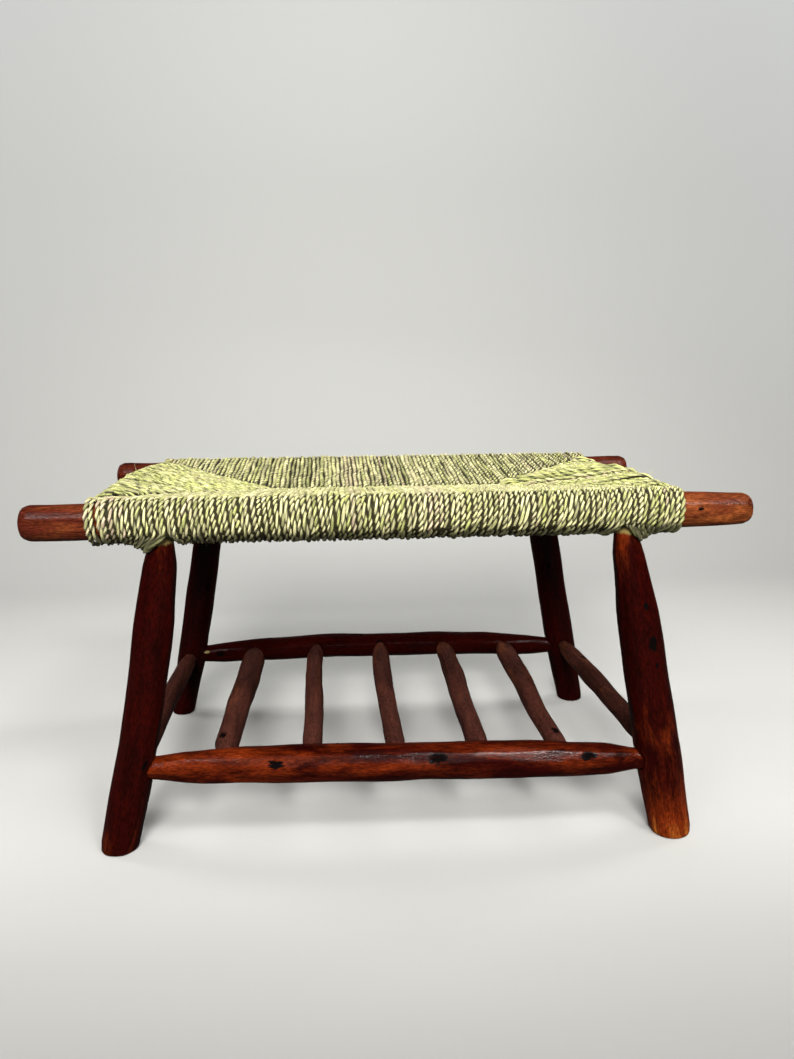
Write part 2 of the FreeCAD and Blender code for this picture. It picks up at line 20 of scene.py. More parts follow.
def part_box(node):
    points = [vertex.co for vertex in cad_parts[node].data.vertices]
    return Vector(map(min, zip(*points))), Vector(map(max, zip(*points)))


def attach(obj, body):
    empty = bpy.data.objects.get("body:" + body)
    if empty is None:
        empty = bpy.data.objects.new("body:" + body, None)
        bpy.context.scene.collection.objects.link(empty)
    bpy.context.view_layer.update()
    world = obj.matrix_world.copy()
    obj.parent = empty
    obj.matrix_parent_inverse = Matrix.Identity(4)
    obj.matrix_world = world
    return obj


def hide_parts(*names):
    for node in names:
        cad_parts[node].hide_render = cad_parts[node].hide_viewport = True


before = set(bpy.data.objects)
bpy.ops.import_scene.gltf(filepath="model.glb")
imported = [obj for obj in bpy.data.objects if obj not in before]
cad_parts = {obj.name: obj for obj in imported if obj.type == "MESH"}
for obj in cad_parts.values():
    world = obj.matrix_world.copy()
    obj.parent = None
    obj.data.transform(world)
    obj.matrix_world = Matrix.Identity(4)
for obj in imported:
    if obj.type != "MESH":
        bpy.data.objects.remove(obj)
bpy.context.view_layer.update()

bl_info = {
    "name": "Woven Seat Bench",
    "version": (1, 0, 0),
    "blender": (4, 5, 0),
    "location": "View3D > Sidebar > Bench",
    "description": "Builds the finish of a pole bench with a woven cord seat",
    "category": "Object",
}

BODY = "root"
FULL_TURN = 2 * math.pi


# Places read from the frame

def middle_of(node):
    """Middle of a node's box."""
    low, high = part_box(node)
    return (low + high) / 2


def half_height(node):
    """Half the height of a node's box, which is a level pole's radius."""
    low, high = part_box(node)
    return (high.z - low.z) / 2


RAIL_HEIGHT = middle_of("front_seat_rail").z
RAIL_Y = middle_of("back_seat_rail").y
END_RAIL_X = middle_of("right_end_rail").x
RAIL_RADIUS = half_height("front_seat_rail")
END_RAIL_RADIUS = half_height("right_end_rail")
WEAVE_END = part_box("front_weave")[1].x
VALLEY_END = WEAVE_END - (RAIL_Y - RAIL_RADIUS)
LEGS = ("front_left_leg", "front_right_leg", "back_left_leg", "back_right_leg")
END_RAILS = ("left_end_rail", "right_end_rail")
SHELF_POLES = ("left_stretcher", "right_stretcher") + tuple(f"shelf_slat_{n}" for n in range(1, 6))
WEAVES = ("front_weave", "back_weave", "left_weave", "right_weave")


# Settings

class BenchWood(bpy.types.PropertyGroup):
    """Shape and colour of the poles."""
    voxel: FloatProperty(
        name="Voxel", description="Mesh size of a reshaped pole", default=0.0021, unit="LENGTH")
    flat_depth: FloatProperty(
        name="Flat depth", description="Depth of a drawknife flat", default=0.0013, unit="LENGTH")
    lump: FloatProperty(
        name="Lump", description="Height of the poles' lumps", default=0.0005, unit="LENGTH")
    stain_dark: FloatVectorProperty(
        name="Dark stain", description="Stain where it lies thick", subtype="COLOR",
        default=(0.0085, 0.0007, 0.0004))
    stain_red: FloatVectorProperty(
        name="Red stain", description="Stain where it lies thin", subtype="COLOR",
        default=(0.026, 0.0011, 0.0004))
    stain_amber: FloatVectorProperty(
        name="Amber", description="Wood where the stain is rubbed through", subtype="COLOR",
        default=(0.175, 0.0215, 0.0030))
    gold: FloatVectorProperty(
        name="Gold", description="Wood where the stain is rubbed right off", subtype="COLOR",
        default=(0.47, 0.150, 0.020))
    seat_dark: FloatVectorProperty(
        name="Seat pole dark", description="Seat poles where the stain lies thick", subtype="COLOR",
        default=(0.024, 0.0036, 0.0019))
    seat_red: FloatVectorProperty(
        name="Seat pole red", description="Seat poles where the stain lies thin", subtype="COLOR",
        default=(0.105, 0.0175, 0.0078))
    seat_amber: FloatVectorProperty(
        name="Seat pole amber", description="Seat poles where the stain is rubbed", subtype="COLOR",
        default=(0.34, 0.090, 0.0200))
    shelf_dark: FloatVectorProperty(
        name="Shelf dark", description="Shelf poles where the stain lies thick", subtype="COLOR",
        default=(0.030, 0.0095, 0.0070))
    shelf_light: FloatVectorProperty(
        name="Shelf light", description="Shelf poles where the stain lies thin", subtype="COLOR",
        default=(0.076, 0.0230, 0.0155))
    shelf_amber: FloatVectorProperty(
        name="Shelf amber", description="Shelf poles where the stain is rubbed", subtype="COLOR",
        default=(0.21, 0.062, 0.020))
    # Bare wood at the leg tops, its colour darkened as painted shade where the weave shades it
    bare: FloatVectorProperty(
        name="Bare wood", description="Leg tops that the stain misses", subtype="COLOR",
        default=(0.21, 0.155, 0.052))
    knot: FloatVectorProperty(
        name="Knot", description="Hearts of the knots", subtype="COLOR", default=(0.0022, 0.0013, 0.0013))


class BenchCord(bpy.types.PropertyGroup):
    """Shape and colour of the seat cord."""
    dia: FloatProperty(name="Cord", description="Cord thickness", default=0.0061, unit="LENGTH")
    pitch: FloatProperty(
        name="Pitch", description="From one cord to the next", default=0.0061, unit="LENGTH")
    lay: FloatProperty(
        name="Lay", description="Length of one turn of the twist", default=0.022, unit="LENGTH")
    lean: FloatProperty(
        name="Lean", description="How far a wrap's lower end lies nearer the middle",
        default=0.006, unit="LENGTH")
    straw: FloatVectorProperty(
        name="Straw", description="Dry strands", subtype="COLOR", default=(0.84, 0.785, 0.415))
    green: FloatVectorProperty(
        name="Green", description="Fresh strands", subtype="COLOR", default=(0.58, 0.595, 0.205))
    tan: FloatVectorProperty(
        name="Tan", description="Browned strands", subtype="COLOR", default=(0.80, 0.62, 0.42))
    shade: FloatVectorProperty(
        name="Shade", description="Stuffing in the gaps", subtype="COLOR", default=(0.035, 0.030, 0.012))
    deep_shade: FloatVectorProperty(
        name="Deep shade", description="Stuffing between its straws", subtype="COLOR",
        default=(0.010, 0.0085, 0.003))


class BenchStage(bpy.types.PropertyGroup):
    """Camera, floor and light."""
    camera_place: FloatVectorProperty(
        name="Camera", description="Where the camera stands", subtype="TRANSLATION",
        default=(-0.0675, -1.1186, 0.5655))
    tilt: FloatProperty(
        name="Tilt", description="Camera below level", default=math.radians(10.96), unit="ROTATION")
    turn: FloatProperty(
        name="Turn", description="Camera towards the right end", default=math.radians(4.24), unit="ROTATION")
    roll: FloatProperty(
        name="Roll", description="Camera about its view", default=math.radians(-0.49), unit="ROTATION")
    lens: FloatProperty(name="Lens", description="Focal length in millimetres", default=27.72)
    floor: FloatVectorProperty(
        name="Floor", description="Floor colour", subtype="COLOR", default=(0.49, 0.487, 0.470))
    air: FloatVectorProperty(
        name="Air", description="Light all round", subtype="COLOR", default=(0.74, 0.76, 0.76))


# Node helpers

def fill(tree, node, sockets):
    """Fill a node's inputs with values or links."""
    for name, value in sockets.items():
        if isinstance(value, bpy.types.NodeSocket):
            tree.links.new(value, node.inputs[name])
        else:
            node.inputs[name].default_value = value


def place(tree, kind, sockets=None, **settings):
    """Add a node, set its properties and fill its inputs."""
    made = tree.nodes.new(kind)
    for name, value in settings.items():
        setattr(made, name, value)
    fill(tree, made, sockets or {})
    return made


def colour(value):
    """A colour with its alpha."""
    return (*value, 1.0)


def mixed(tree, share, first, second, blend="MIX"):
    """Mix of two colours by a share."""
    return place(tree, "ShaderNodeMix", {0: share, 6: first, 7: second},
                 data_type="RGBA", blend_type=blend).outputs[2]


def scaled(tree, base, value):
    """Colour times a value."""
    return mixed(tree, 1.0, base, value, blend="MULTIPLY")


def math_step(tree, operation, first, second):
    """One step of arithmetic on two values."""
    return place(tree, "ShaderNodeMath", {0: first, 1: second}, operation=operation).outputs[0]


def weighted(tree, first, first_weight, second, second_weight):
    """Sum of two values, each times its weight."""
    return math_step(tree, "ADD", math_step(tree, "MULTIPLY", first, first_weight),
                     math_step(tree, "MULTIPLY", second, second_weight))


def ramp(tree, value, low, high, start=0.0, end=1.0):
    """Smooth step of a value from start at low to end at high."""
    sockets = {"Value": value, "From Min": low, "From Max": high, "To Min": start, "To Max": end}
    return place(tree, "ShaderNodeMapRange", sockets, interpolation_type="SMOOTHSTEP").outputs[0]


def attribute(tree, name):
    """A piece's own vector attribute."""
    return place(tree, "ShaderNodeAttribute", attribute_name=name).outputs["Vector"]


def axes_of(tree, vector):
    """X, Y and Z of a vector."""
    return place(tree, "ShaderNodeSeparateXYZ", {"Vector": vector}).outputs[:]


def stretched_noise(tree, vector, along, across, axis="X", detail=4.0, roughness=0.55, distortion=0.0):
    """Noise with one scale along an axis and another across it."""
    scale = [along if way == axis else across for way in "XYZ"]
    mapped = place(tree, "ShaderNodeMapping", {"Vector": vector, "Scale": scale}).outputs[0]
    sockets = {"Vector": mapped, "Scale": 1.0, "Detail": detail, "Roughness": roughness,
               "Distortion": distortion}
    return place(tree, "ShaderNodeTexNoise", sockets).outputs["Fac"]


def bumped(tree, height, strength, distance):
    """Normal of a surface that stands out by a height."""
    sockets = {"Height": height, "Strength": strength, "Distance": distance}
    return place(tree, "ShaderNodeBump", sockets).outputs[0]


def new_group(name, inputs, outputs):
    """Empty node group with named sockets, and its two end nodes."""
    group = bpy.data.node_groups.new(name, "ShaderNodeTree")
    for socket, kind in inputs.items():
        group.interface.new_socket(socket, in_out="INPUT", socket_type=kind)
    for socket, kind in outputs.items():
        group.interface.new_socket(socket, in_out="OUTPUT", socket_type=kind)
    return group, group.nodes.new("NodeGroupInput"), group.nodes.new("NodeGroupOutput")


def new_material(name):
    """Material with only its Principled shader and output."""
    material = bpy.data.materials.new(name)
    material.use_nodes = True
    return material, material.node_tree, material.node_tree.nodes["Principled BSDF"]


# Wood material

def stained_grain():
    """Node group: colour, roughness and height of stained wood along a pole's grain."""
    if "stained_grain" in bpy.data.node_groups:
        return bpy.data.node_groups["stained_grain"]
    colours = {name: "NodeSocketColor" for name in ("Dark", "Light", "Amber", "Gold")}
    group, entry, exit_node = new_group(
        "stained_grain", {"Grain": "NodeSocketVector", "Rubbed": "NodeSocketFloat", **colours},
        {"Color": "NodeSocketColor", "Roughness": "NodeSocketFloat", "Height": "NodeSocketFloat"})
    dark, light, amber, gold = (entry.outputs[name] for name in colours)
    grain = entry.outputs["Grain"]
    streak = stretched_noise(group, grain, along=9.0, across=150.0, distortion=0.6)
    blotch = stretched_noise(group, grain, along=14.0, across=42.0, detail=5.0, roughness=0.6, distortion=0.8)
    fibre = stretched_noise(group, grain, along=150.0, across=600.0)
    rubbing = stretched_noise(group, grain, along=12.0, across=54.0, detail=6.0, roughness=0.66,
                              distortion=0.35)

    thin = weighted(group, streak, 0.55, blotch, 0.65)
    base = mixed(group, ramp(group, thin, 0.34, 0.86), dark, light)
    unworn = math_step(group, "SUBTRACT", 0.80, math_step(group, "MULTIPLY", entry.outputs["Rubbed"], 0.40))
    worn = math_step(group, "SUBTRACT", rubbing, unworn)
    base = mixed(group, ramp(group, worn, 0.0, 0.40, 0.0, 0.9), base, amber)
    base = mixed(group, ramp(group, worn, 0.27, 0.62), base, gold)
    fill(group, exit_node, {
        "Color": scaled(group, base, ramp(group, fibre, 0.36, 0.64, 0.56, 1.14)),
        "Roughness": ramp(group, blotch, 0.3, 0.7, 0.24, 0.46),
        "Height": weighted(group, streak, 0.8, fibre, 0.25),
    })
    return group


def wood_material(name, dark, light, amber, coat):
    """Stained and varnished wood with knots and unstained leg tops."""
    settings = bpy.context.scene.bench_wood
    material, tree, shader = new_material(name)
    grain = attribute(tree, "grain")
    knot, rubbed, bare = axes_of(tree, attribute(tree, "marks"))
    sockets = {"Grain": grain, "Rubbed": rubbed, "Dark": colour(dark), "Light": colour(light),
               "Amber": colour(amber), "Gold": colour(settings.gold)}
    wood = place(tree, "ShaderNodeGroup", sockets, node_tree=stained_grain())

    edge = stretched_noise(tree, grain, along=60.0, across=260.0)
    # Bare leg tops, in a colour darkened as painted shade where the weave shades them
    uncovered = ramp(tree, weighted(tree, bare, 1.0, edge, 0.5), 0.68, 0.86)
    base = mixed(tree, uncovered, wood.outputs["Color"], colour(settings.bare))
    split = stretched_noise(tree, grain, along=110.0, across=330.0, detail=3.0)
    ragged = math_step(tree, "MULTIPLY", knot, ramp(tree, split, 0.32, 0.66, 0.6, 1.5))
    base = mixed(tree, ramp(tree, ragged, 0.36, 0.62), base, colour(settings.knot))
    dull = ramp(tree, knot, 0.2, 0.8, 0.0, 0.45)

    peel = stretched_noise(tree, grain, along=70.0, across=220.0, detail=2.0)
    grit = stretched_noise(tree, grain, along=420.0, across=700.0, detail=1.0)
    skin = weighted(tree, peel, 0.55, grit, 0.5)
    height = math_step(tree, "ADD", wood.outputs["Height"], skin)
    fill(tree, shader, {
        "Base Color": base,
        "Roughness": math_step(tree, "ADD", wood.outputs["Roughness"], dull),
        "Specular IOR Level": 0.04,
        "Coat Weight": ramp(tree, knot, 0.2, 0.8, coat, 0.0),
        "Coat Roughness": 0.22,
        "Normal": bumped(tree, height, 0.75, 0.0008),
        "Coat Normal": bumped(tree, skin, 0.6, 0.0008),
    })
    return material


# Settings of each wood's stain where it lies thick, lies thin and is rubbed, and its coat of varnish
WOODS = {
    "varnished_pole": ("stain_dark", "stain_red", "stain_amber", 0.40),
    "seat_pole": ("seat_dark", "seat_red", "seat_amber", 0.42),
    "shelf_pole": ("shelf_dark", "shelf_light", "shelf_amber", 0.12),
}


def pole_wood(name):
    """One of the poles' woods, made once."""
    *stains, coat = WOODS[name]
    settings = bpy.context.scene.bench_wood
    return bpy.data.materials.get(name) or wood_material(
        name, *(getattr(settings, stain) for stain in stains), coat=coat)


# Object and mesh helpers

def linked(name, data):
    """New object with its data, in the scene."""
    made = bpy.data.objects.new(name, data)
    bpy.context.collection.objects.link(made)
    return made


def evaluated_mesh(source):
    """New mesh of an object with its bevel or modifiers applied."""
    bpy.context.view_layer.update()
    return bpy.data.meshes.new_from_object(source.evaluated_get(bpy.context.evaluated_depsgraph_get()))


def merged_copy(node, name):
    """New object with a merged copy of a node's mesh."""
    mesh = bpy.data.meshes.new(name)
    shape = bmesh.new()
    shape.from_mesh(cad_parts[node].data)
    bmesh.ops.remove_doubles(shape, verts=shape.verts, dist=1e-6)
    shape.to_mesh(mesh)
    shape.free()
    return linked(name, mesh)


def mesh_of_curve(name, curve):
    """Mesh of a bevelled curve."""
    line = linked(f"{name}_line", curve)
    mesh = evaluated_mesh(line)
    bpy.data.objects.remove(line)
    mesh.name = name
    return mesh


def shade_smooth(mesh):
    """Shade all of a mesh's faces smooth."""
    mesh.polygons.foreach_set("use_smooth", np.ones(len(mesh.polygons), dtype=bool))


def settle(piece, node, material):
    """Give a finished piece its body, slot and material, and hide the node that it stands for."""
    piece.data.materials.clear()
    piece.data.materials.append(material)
    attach(piece, BODY)
    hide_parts(node)


def points_of(mesh):
    """A mesh's points as an array."""
    places = np.empty(len(mesh.vertices) * 3)
    mesh.vertices.foreach_get("co", places)
    return places.reshape(-1, 3)


def store(mesh, name, values):
    """Keep a vector at each point of a mesh."""
    made = mesh.attributes.new(name, "FLOAT_VECTOR", "POINT")
    made.data.foreach_set("vector", np.ascontiguousarray(values, dtype=np.float32).ravel())


# Poles

class PoleFrame:
    """A crooked pole's own coordinates: along its axis, round it and out from it."""

    STATIONS = 60
    UPRIGHT = 0.7
    SKIN_PERCENTILE = 88

    def __init__(self, points):
        """Read the axis, the centre line and the radius from a pole's points."""
        middle = points.mean(0)
        axis = np.linalg.svd(points - middle, full_matrices=False)[2][0]
        axis *= np.sign(axis[np.argmax(abs(axis))])
        upright = abs(axis[2]) > self.UPRIGHT
        side = np.array((0.0, -1.0, 0.0)) if upright else np.array((0.0, 0.0, 1.0))
        side -= axis * (side @ axis)
        self.first = side / np.linalg.norm(side)
        self.second = np.cross(axis, self.first)
        along = (points - middle) @ axis
        self.length = np.ptp(along)
        self.share = (along - along.min()) / self.length
        station = np.minimum((self.share * self.STATIONS).astype(int), self.STATIONS - 1)
        members = [np.flatnonzero(station == number) for number in range(self.STATIONS)]
        self.offsets = []
        for direction in (self.first, self.second):
            across = (points - middle) @ direction
            line = [(across[chosen].max() + across[chosen].min()) / 2 for chosen in members]
            self.offsets.append(across - self.between(line))
        self.radius = np.hypot(*self.offsets)
        self.angle = np.arctan2(self.offsets[1], self.offsets[0])
        thickest = [np.percentile(self.radius[chosen], self.SKIN_PERCENTILE) for chosen in members]
        self.skin = self.between(thickest)

    def between(self, values):
        """Smoothed values of the stations, read at each point."""
        places = (np.arange(self.STATIONS) + 0.5) / self.STATIONS
        steady = np.convolve(np.pad(values, 1, mode="edge"), (0.25, 0.5, 0.25), mode="valid")
        return np.interp(self.share, places, steady)

    def out(self):
        """Unit direction out from the centre line at each point."""
        return np.cos(self.angle)[:, None] * self.first + np.sin(self.angle)[:, None] * self.second

    def grain(self, shift):
        """Grain coordinates: along the pole and across it, shifted so that poles differ."""
        along = self.share * self.length
        return np.column_stack((along + shift, *self.offsets))


# Lumps: their lengths along a pole, and how many may go round it
WAVE_SPANS = (0.07, 0.26)
WAVES_ROUND = (0, 4)

# Cuts: their lengths, where their waves start, how far they stray round a pole in shares of their spacing,
# and the cosine of how far round one reaches
CUT_SPANS = (0.09, 0.24)
CUT_PHASES = (0, 6.3)
CUT_STRAY = (-0.35, 0.35)
CUT_REACH = 0.3

# A knot's stretch along the grain, the height and reach of its rim and hollow, and the reach of its stain
KNOT_STRETCH = 1.7
KNOT_RIM = (0.06, 1.9)
KNOT_HOLLOW = (0.08, 0.6)
KNOT_STAIN = 0.9

# Share of the radius that counts as skin, how far the shaving and the bare wood take to fade, and how far
# a pole's grain lies from the next one's
SKIN_SHARE = 0.8
END_FADE = 0.012
BARE_EDGE = 0.02
GRAIN_SHIFT = 1.7


def waves(rng, pole, height, count=9):
    """Hand-shaved unevenness: a few waves along and round a pole."""
    total = np.zeros(len(pole.share))
    for _ in range(count):
        span = rng.uniform(*WAVE_SPANS)
        turns = rng.integers(*WAVES_ROUND)
        phase = rng.uniform(0, FULL_TURN)
        total += np.sin(pole.share * pole.length / span * FULL_TURN + turns * pole.angle + phase)
    return total * height / math.sqrt(count)


def shaved_flats(rng, pole, depth, count):
    """Depth that a few uneven drawknife cuts take off at each point."""
    limit = np.full(len(pole.share), 1.0)
    for number in range(count):
        middle = FULL_TURN * (number + rng.uniform(*CUT_STRAY)) / count - math.pi
        span = rng.uniform(*CUT_SPANS)
        phase = rng.uniform(*CUT_PHASES)
        cut = depth * (0.5 + 0.5 * np.sin(pole.share * pole.length / span * FULL_TURN + phase))
        lean = np.maximum(np.cos(pole.angle - middle), CUT_REACH)
        limit = np.minimum(limit, (pole.skin - cut) / lean)
    return np.maximum(pole.radius - limit, 0.0)


def knot_marks(pole, knots):
    """Swelling and darkness of the knots at each point.

    A knot is a share of the length, an angle and a size. Its rim and its hollow are a height and a reach,
    in sizes, and it is stretched along the grain.
    """
    swelling = np.zeros(len(pole.share))
    dark = np.zeros(len(pole.share))
    for share, angle, size in knots:
        around = (pole.angle - math.radians(angle) + math.pi) % FULL_TURN - math.pi
        away = np.hypot((pole.share - share) * pole.length / KNOT_STRETCH, around * pole.skin) / size
        rim, hollow = (height * size * np.exp(-(away / reach) ** 2)
                       for height, reach in (KNOT_RIM, KNOT_HOLLOW))
        swelling += rim - hollow
        dark = np.maximum(dark, np.exp(-(away / KNOT_STAIN) ** 2))
    return swelling, dark


def bumps(pole, places):
    """Height of single bumps and hollows, each at a share of the length and an angle, with a reach."""
    total = np.zeros(len(pole.share))
    for share, angle, reach, height in places:
        along = np.exp(-((pole.share - share) * pole.length / reach) ** 2)
        total += height * along * np.maximum(np.cos(pole.angle - math.radians(angle)), 0.0)
    return total


def squared_foot(points, top=0.012, bevel=0.002, levels=7):
    """Points of a leg with its foot filled out to a small bevel, where the merged copy is rounded."""
    height = points[:, 2] - points[:, 2].min()
    steps = np.linspace(0.0, top, levels)
    bands = [points[abs(height - step) < top / levels, :2] for step in steps]
    low, high = (np.array([edge(band, 0) for band in bands]) for edge in (np.min, np.max))
    middle, half = (low + high) / 2, (high - low) / 2
    wanted = half[-1] - (bevel - np.minimum(steps, bevel))[:, None]
    made = points.copy()
    foot = height < top
    for axis in (0, 1):
        centre = np.interp(height[foot], steps, middle[:, axis])
        stretch = np.interp(height[foot], steps, wanted[:, axis] / half[:, axis])
        made[foot, axis] = centre + (points[foot, axis] - centre) * stretch
    return made


def shaved_pole(node, material, seed, flats=9, cut=1.0, rubbed=(0.2, 0.0, 0.2), fade=(0.05, 0.05),
                bare_above=None, knots=(), chips=(), uneven=()):
    """Pole reshaped from its node: flats, lumps, knots and where its stain is worn.

    cut scales the flats. rubbed is the wear at the first end, along the middle and at the last end, and
    fade how far the two ends' wear reaches. chips are where the stain is knocked off, and uneven the
    single bumps and hollows.
    """
    settings = bpy.context.scene.bench_wood
    piece = merged_copy(node, f"{node}_shaved")
    remesh = piece.modifiers.new("Remesh", "REMESH")
    remesh.mode = "VOXEL"
    remesh.voxel_size = settings.voxel
    smooth = piece.modifiers.new("Smooth", "SMOOTH")
    smooth.iterations = 2
    rough, mesh = piece.data, evaluated_mesh(piece)
    piece.modifiers.clear()
    piece.data = mesh
    mesh.name = piece.name
    bpy.data.meshes.remove(rough)

    rng = np.random.default_rng(seed)
    points = points_of(mesh)
    if node in LEGS:
        points = squared_foot(points)
    pole = PoleFrame(points)
    outside = pole.radius > SKIN_SHARE * pole.skin
    swelling, dark = knot_marks(pole, knots)
    change = waves(rng, pole, settings.lump) + swelling + bumps(pole, uneven)
    change += cut * (settings.flat_depth / 2 - shaved_flats(rng, pole, settings.flat_depth, flats))
    ends = np.clip(np.minimum(pole.share, 1 - pole.share) * pole.length / END_FADE, 0.0, 1.0)
    moved = points + pole.out() * (change * outside * ends)[:, None]
    mesh.vertices.foreach_set("co", moved.ravel())
    mesh.update()
    shade_smooth(mesh)

    first, along, last = rubbed
    wear = along + (first - along) * np.exp(-pole.share * pole.length / fade[0])
    wear += (last - along) * np.exp(-(1 - pole.share) * pole.length / fade[1])
    bare = knot_marks(pole, chips)[1]
    if bare_above is not None:
        bare = np.maximum(bare, np.clip((points[:, 2] - bare_above) / BARE_EDGE + 0.5, 0.0, 1.0))
    store(mesh, "grain", pole.grain(shift=seed * GRAIN_SHIFT))
    store(mesh, "marks", np.column_stack((dark, wear, bare)))
    settle(piece, node, material)


class BENCH_OT_seat_poles(bpy.types.Operator):
    """Long seat poles, rounded at their ends, and the end poles inside the weave"""
    bl_idname = "bench.seat_poles"
    bl_label = "Seat Poles"

    def execute(self, context):
        nail_hole = (0.918, 78, 0.0030)
        shaved_pole("front_seat_rail", pole_wood("seat_pole"), 11, flats=12, cut=0.4,
                    rubbed=(0.5, 1.1, 1.25), knots=(nail_hole,))
        shaved_pole("back_seat_rail", pole_wood("seat_pole"), 12, flats=12, cut=0.4,
                    rubbed=(0.4, 0.4, 0.5))
        for number, node in enumerate(END_RAILS):
            shaved_pole(node, pole_wood("varnished_pole"), 13 + number)
        return {"FINISHED"}


class BENCH_OT_legs(bpy.types.Operator):
    """Splayed legs with shaved necks and hewn feet"""
    bl_idname = "bench.legs"
    bl_label = "Legs"

    def execute(self, context):
        bare_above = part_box("front_weave")[0].z + 0.001
        knots = {
            "front_left_leg": ((0.30, 40, 0.004),),
            "front_right_leg": ((0.61, 13, 0.0065), (0.545, 14, 0.0032), (0.72, 10, 0.0032)),
            "back_left_leg": ((0.55, 30, 0.004),),
            "back_right_leg": ((0.60, -10, 0.004),),
        }
        rubbed = {
            "front_left_leg": (0.9, 0.2, 1.7),
            "front_right_leg": (1.75, 0.3, 1.7),
            "back_left_leg": (0.1, 0.1, 0.1),
            "back_right_leg": (0.2, 0.1, 0.1),
        }
        uneven = {
            "front_left_leg": (
                (0.87, 90, 0.04, 0.0020), (0.45, -90, 0.07, -0.0015), (0.12, -90, 0.04, 0.0022)),
            "front_right_leg": ((0.85, -90, 0.06, -0.0018),),
        }
        for number, node in enumerate(LEGS):
            shaved_pole(node, pole_wood("varnished_pole"), 21 + number, flats=8, cut=0.8,
                        rubbed=rubbed[node], fade=(0.13, 0.045), bare_above=bare_above, knots=knots[node],
                        uneven=uneven.get(node, ()))
        return {"FINISHED"}


class BENCH_OT_stretchers(bpy.types.Operator):
    """Front and back stretchers, carrot shaped, with knots"""
    bl_idname = "bench.stretchers"
    bl_label = "Long Stretchers"

    def execute(self, context):
        knots = ((0.257, 64, 0.0070), (0.57, 58, 0.0080), (0.869, 56, 0.0070))
        shaved_pole("front_stretcher", pole_wood("varnished_pole"), 31,
                    rubbed=(1.35, 0.95, 0.95), fade=(0.11, 0.05), knots=knots)
        # Little wear keeps the back stretcher dark: its real stain, and painted shade for the seat's shadow
        # on it
        shaved_pole("back_stretcher", pole_wood("varnished_pole"), 32, flats=8,
                    rubbed=(0.2, 0.1, 0.2), knots=((0.06, 80, 0.006), (0.5, 60, 0.005)),
                    chips=((0.025, 62, 0.0035),))
        return {"FINISHED"}


class BENCH_OT_shelf(bpy.types.Operator):
    """Crooked shelf slats and the side stretchers"""
    bl_idname = "bench.shelf"
    bl_label = "Shelf"

    def execute(self, context):
        knots = {
            "right_stretcher": ((0.72, 15, 0.0050),),
            "shelf_slat_1": ((0.13, -20, 0.0060),),
            "shelf_slat_3": ((0.55, 70, 0.0045),),
            "shelf_slat_5": ((0.12, 5, 0.0055),),
        }
        for number, node in enumerate(SHELF_POLES):
            shaved_pole(node, pole_wood("shelf_pole"), 41 + number, flats=8, cut=0.6,
                        rubbed=(0.35, 0.75, 0.9), fade=(0.09, 0.09), knots=knots.get(node, ()))
        return {"FINISHED"}


# Cord material

def cord_material():
    """Two-ply grass cord: straw, green and browned strands, fibres along the ply, and painted shade."""
    settings = bpy.context.scene.bench_cord
    material, tree, shader = new_material("grass_cord")
    fibre = attribute(tree, "fibre")
    # The third value is painted shade: in the plies' grooves, between cords and under the roll
    hue, browned, groove = axes_of(tree, attribute(tree, "strand"))
    drift = stretched_noise(tree, fibre, along=22.0, across=60.0, axis="Z", detail=3.0)
    green = ramp(tree, weighted(tree, hue, 1.0, drift, 0.9), 0.55, 1.35)
    base = mixed(tree, green, colour(settings.straw), colour(settings.green))
    patch = stretched_noise(tree, fibre, along=30.0, across=90.0, axis="Z", detail=3.0)
    brown = ramp(tree, math_step(tree, "ADD", browned, patch), 0.98, 1.35)
    base = mixed(tree, brown, base, colour(settings.tan))
    weathered = stretched_noise(tree, fibre, along=9.0, across=3.0, axis="Z", detail=1.0)
    base = scaled(tree, base, ramp(tree, weathered, 0.36, 0.64, 0.80, 1.06))
    strips = stretched_noise(tree, fibre, along=22.0, across=430.0, axis="Z", detail=2.0)
    base = scaled(tree, base, ramp(tree, strips, 0.38, 0.60, 0.52, 1.14))
    lines = stretched_noise(tree, fibre, along=70.0, across=1500.0, axis="Z", detail=3.0, roughness=0.6)
    base = scaled(tree, base, ramp(tree, lines, 0.3, 0.68, 0.5, 1.06))
    fill(tree, shader, {
        "Base Color": scaled(tree, base, ramp(tree, groove, 0.46, 1.0, 1.0, 0.11)),
        "Roughness": ramp(tree, lines, 0.3, 0.7, 0.78, 0.55),
        "Normal": bumped(tree, lines, 0.6, 0.0004),
        "Sheen Weight": 0.15,
        "Sheen Roughness": 0.5,
        "Sheen Tint": colour(settings.straw),
    })
    return material


def seat_cord():
    """The cord's material, made once."""
    return bpy.data.materials.get("grass_cord") or cord_material()


def stuffing_material():
    """Shaded straw stuffing behind the cords."""
    settings = bpy.context.scene.bench_cord
    material, tree, shader = new_material("stuffing")
    spot = place(tree, "ShaderNodeTexCoord").outputs["Object"]
    straws = stretched_noise(tree, spot, along=60.0, across=400.0, axis="Y")
    fill(tree, shader, {
        "Base Color": mixed(tree, ramp(tree, straws, 0.3, 0.7), colour(settings.deep_shade),
                            colour(settings.shade)),
        "Roughness": 0.95,
        "Normal": bumped(tree, straws, 0.8, 0.001),
    })
    return material


# Cords

# Profile of a cord, in cord radii, and how finely it is made
PLY_WAIST, PLY_LOBE = 0.46, 0.57
PLY_POINTS = 8
RINGS_PER_TURN = 10
ARC_POINTS = 24

# Room between a cord and its pole, how far in a bulge reaches, and how far a cord above the panel sinks
CLEARANCE = 0.0002
BULGE_REACH = 0.1
SINK_SHARE = 0.7

# Inner end of a cord: its gap and its dive in cord thicknesses, and its shoulder in shares of the dive
INNER_GAP = 0.4
DIVE = 0.9
SHOULDER = np.array((0.12, 0.45))

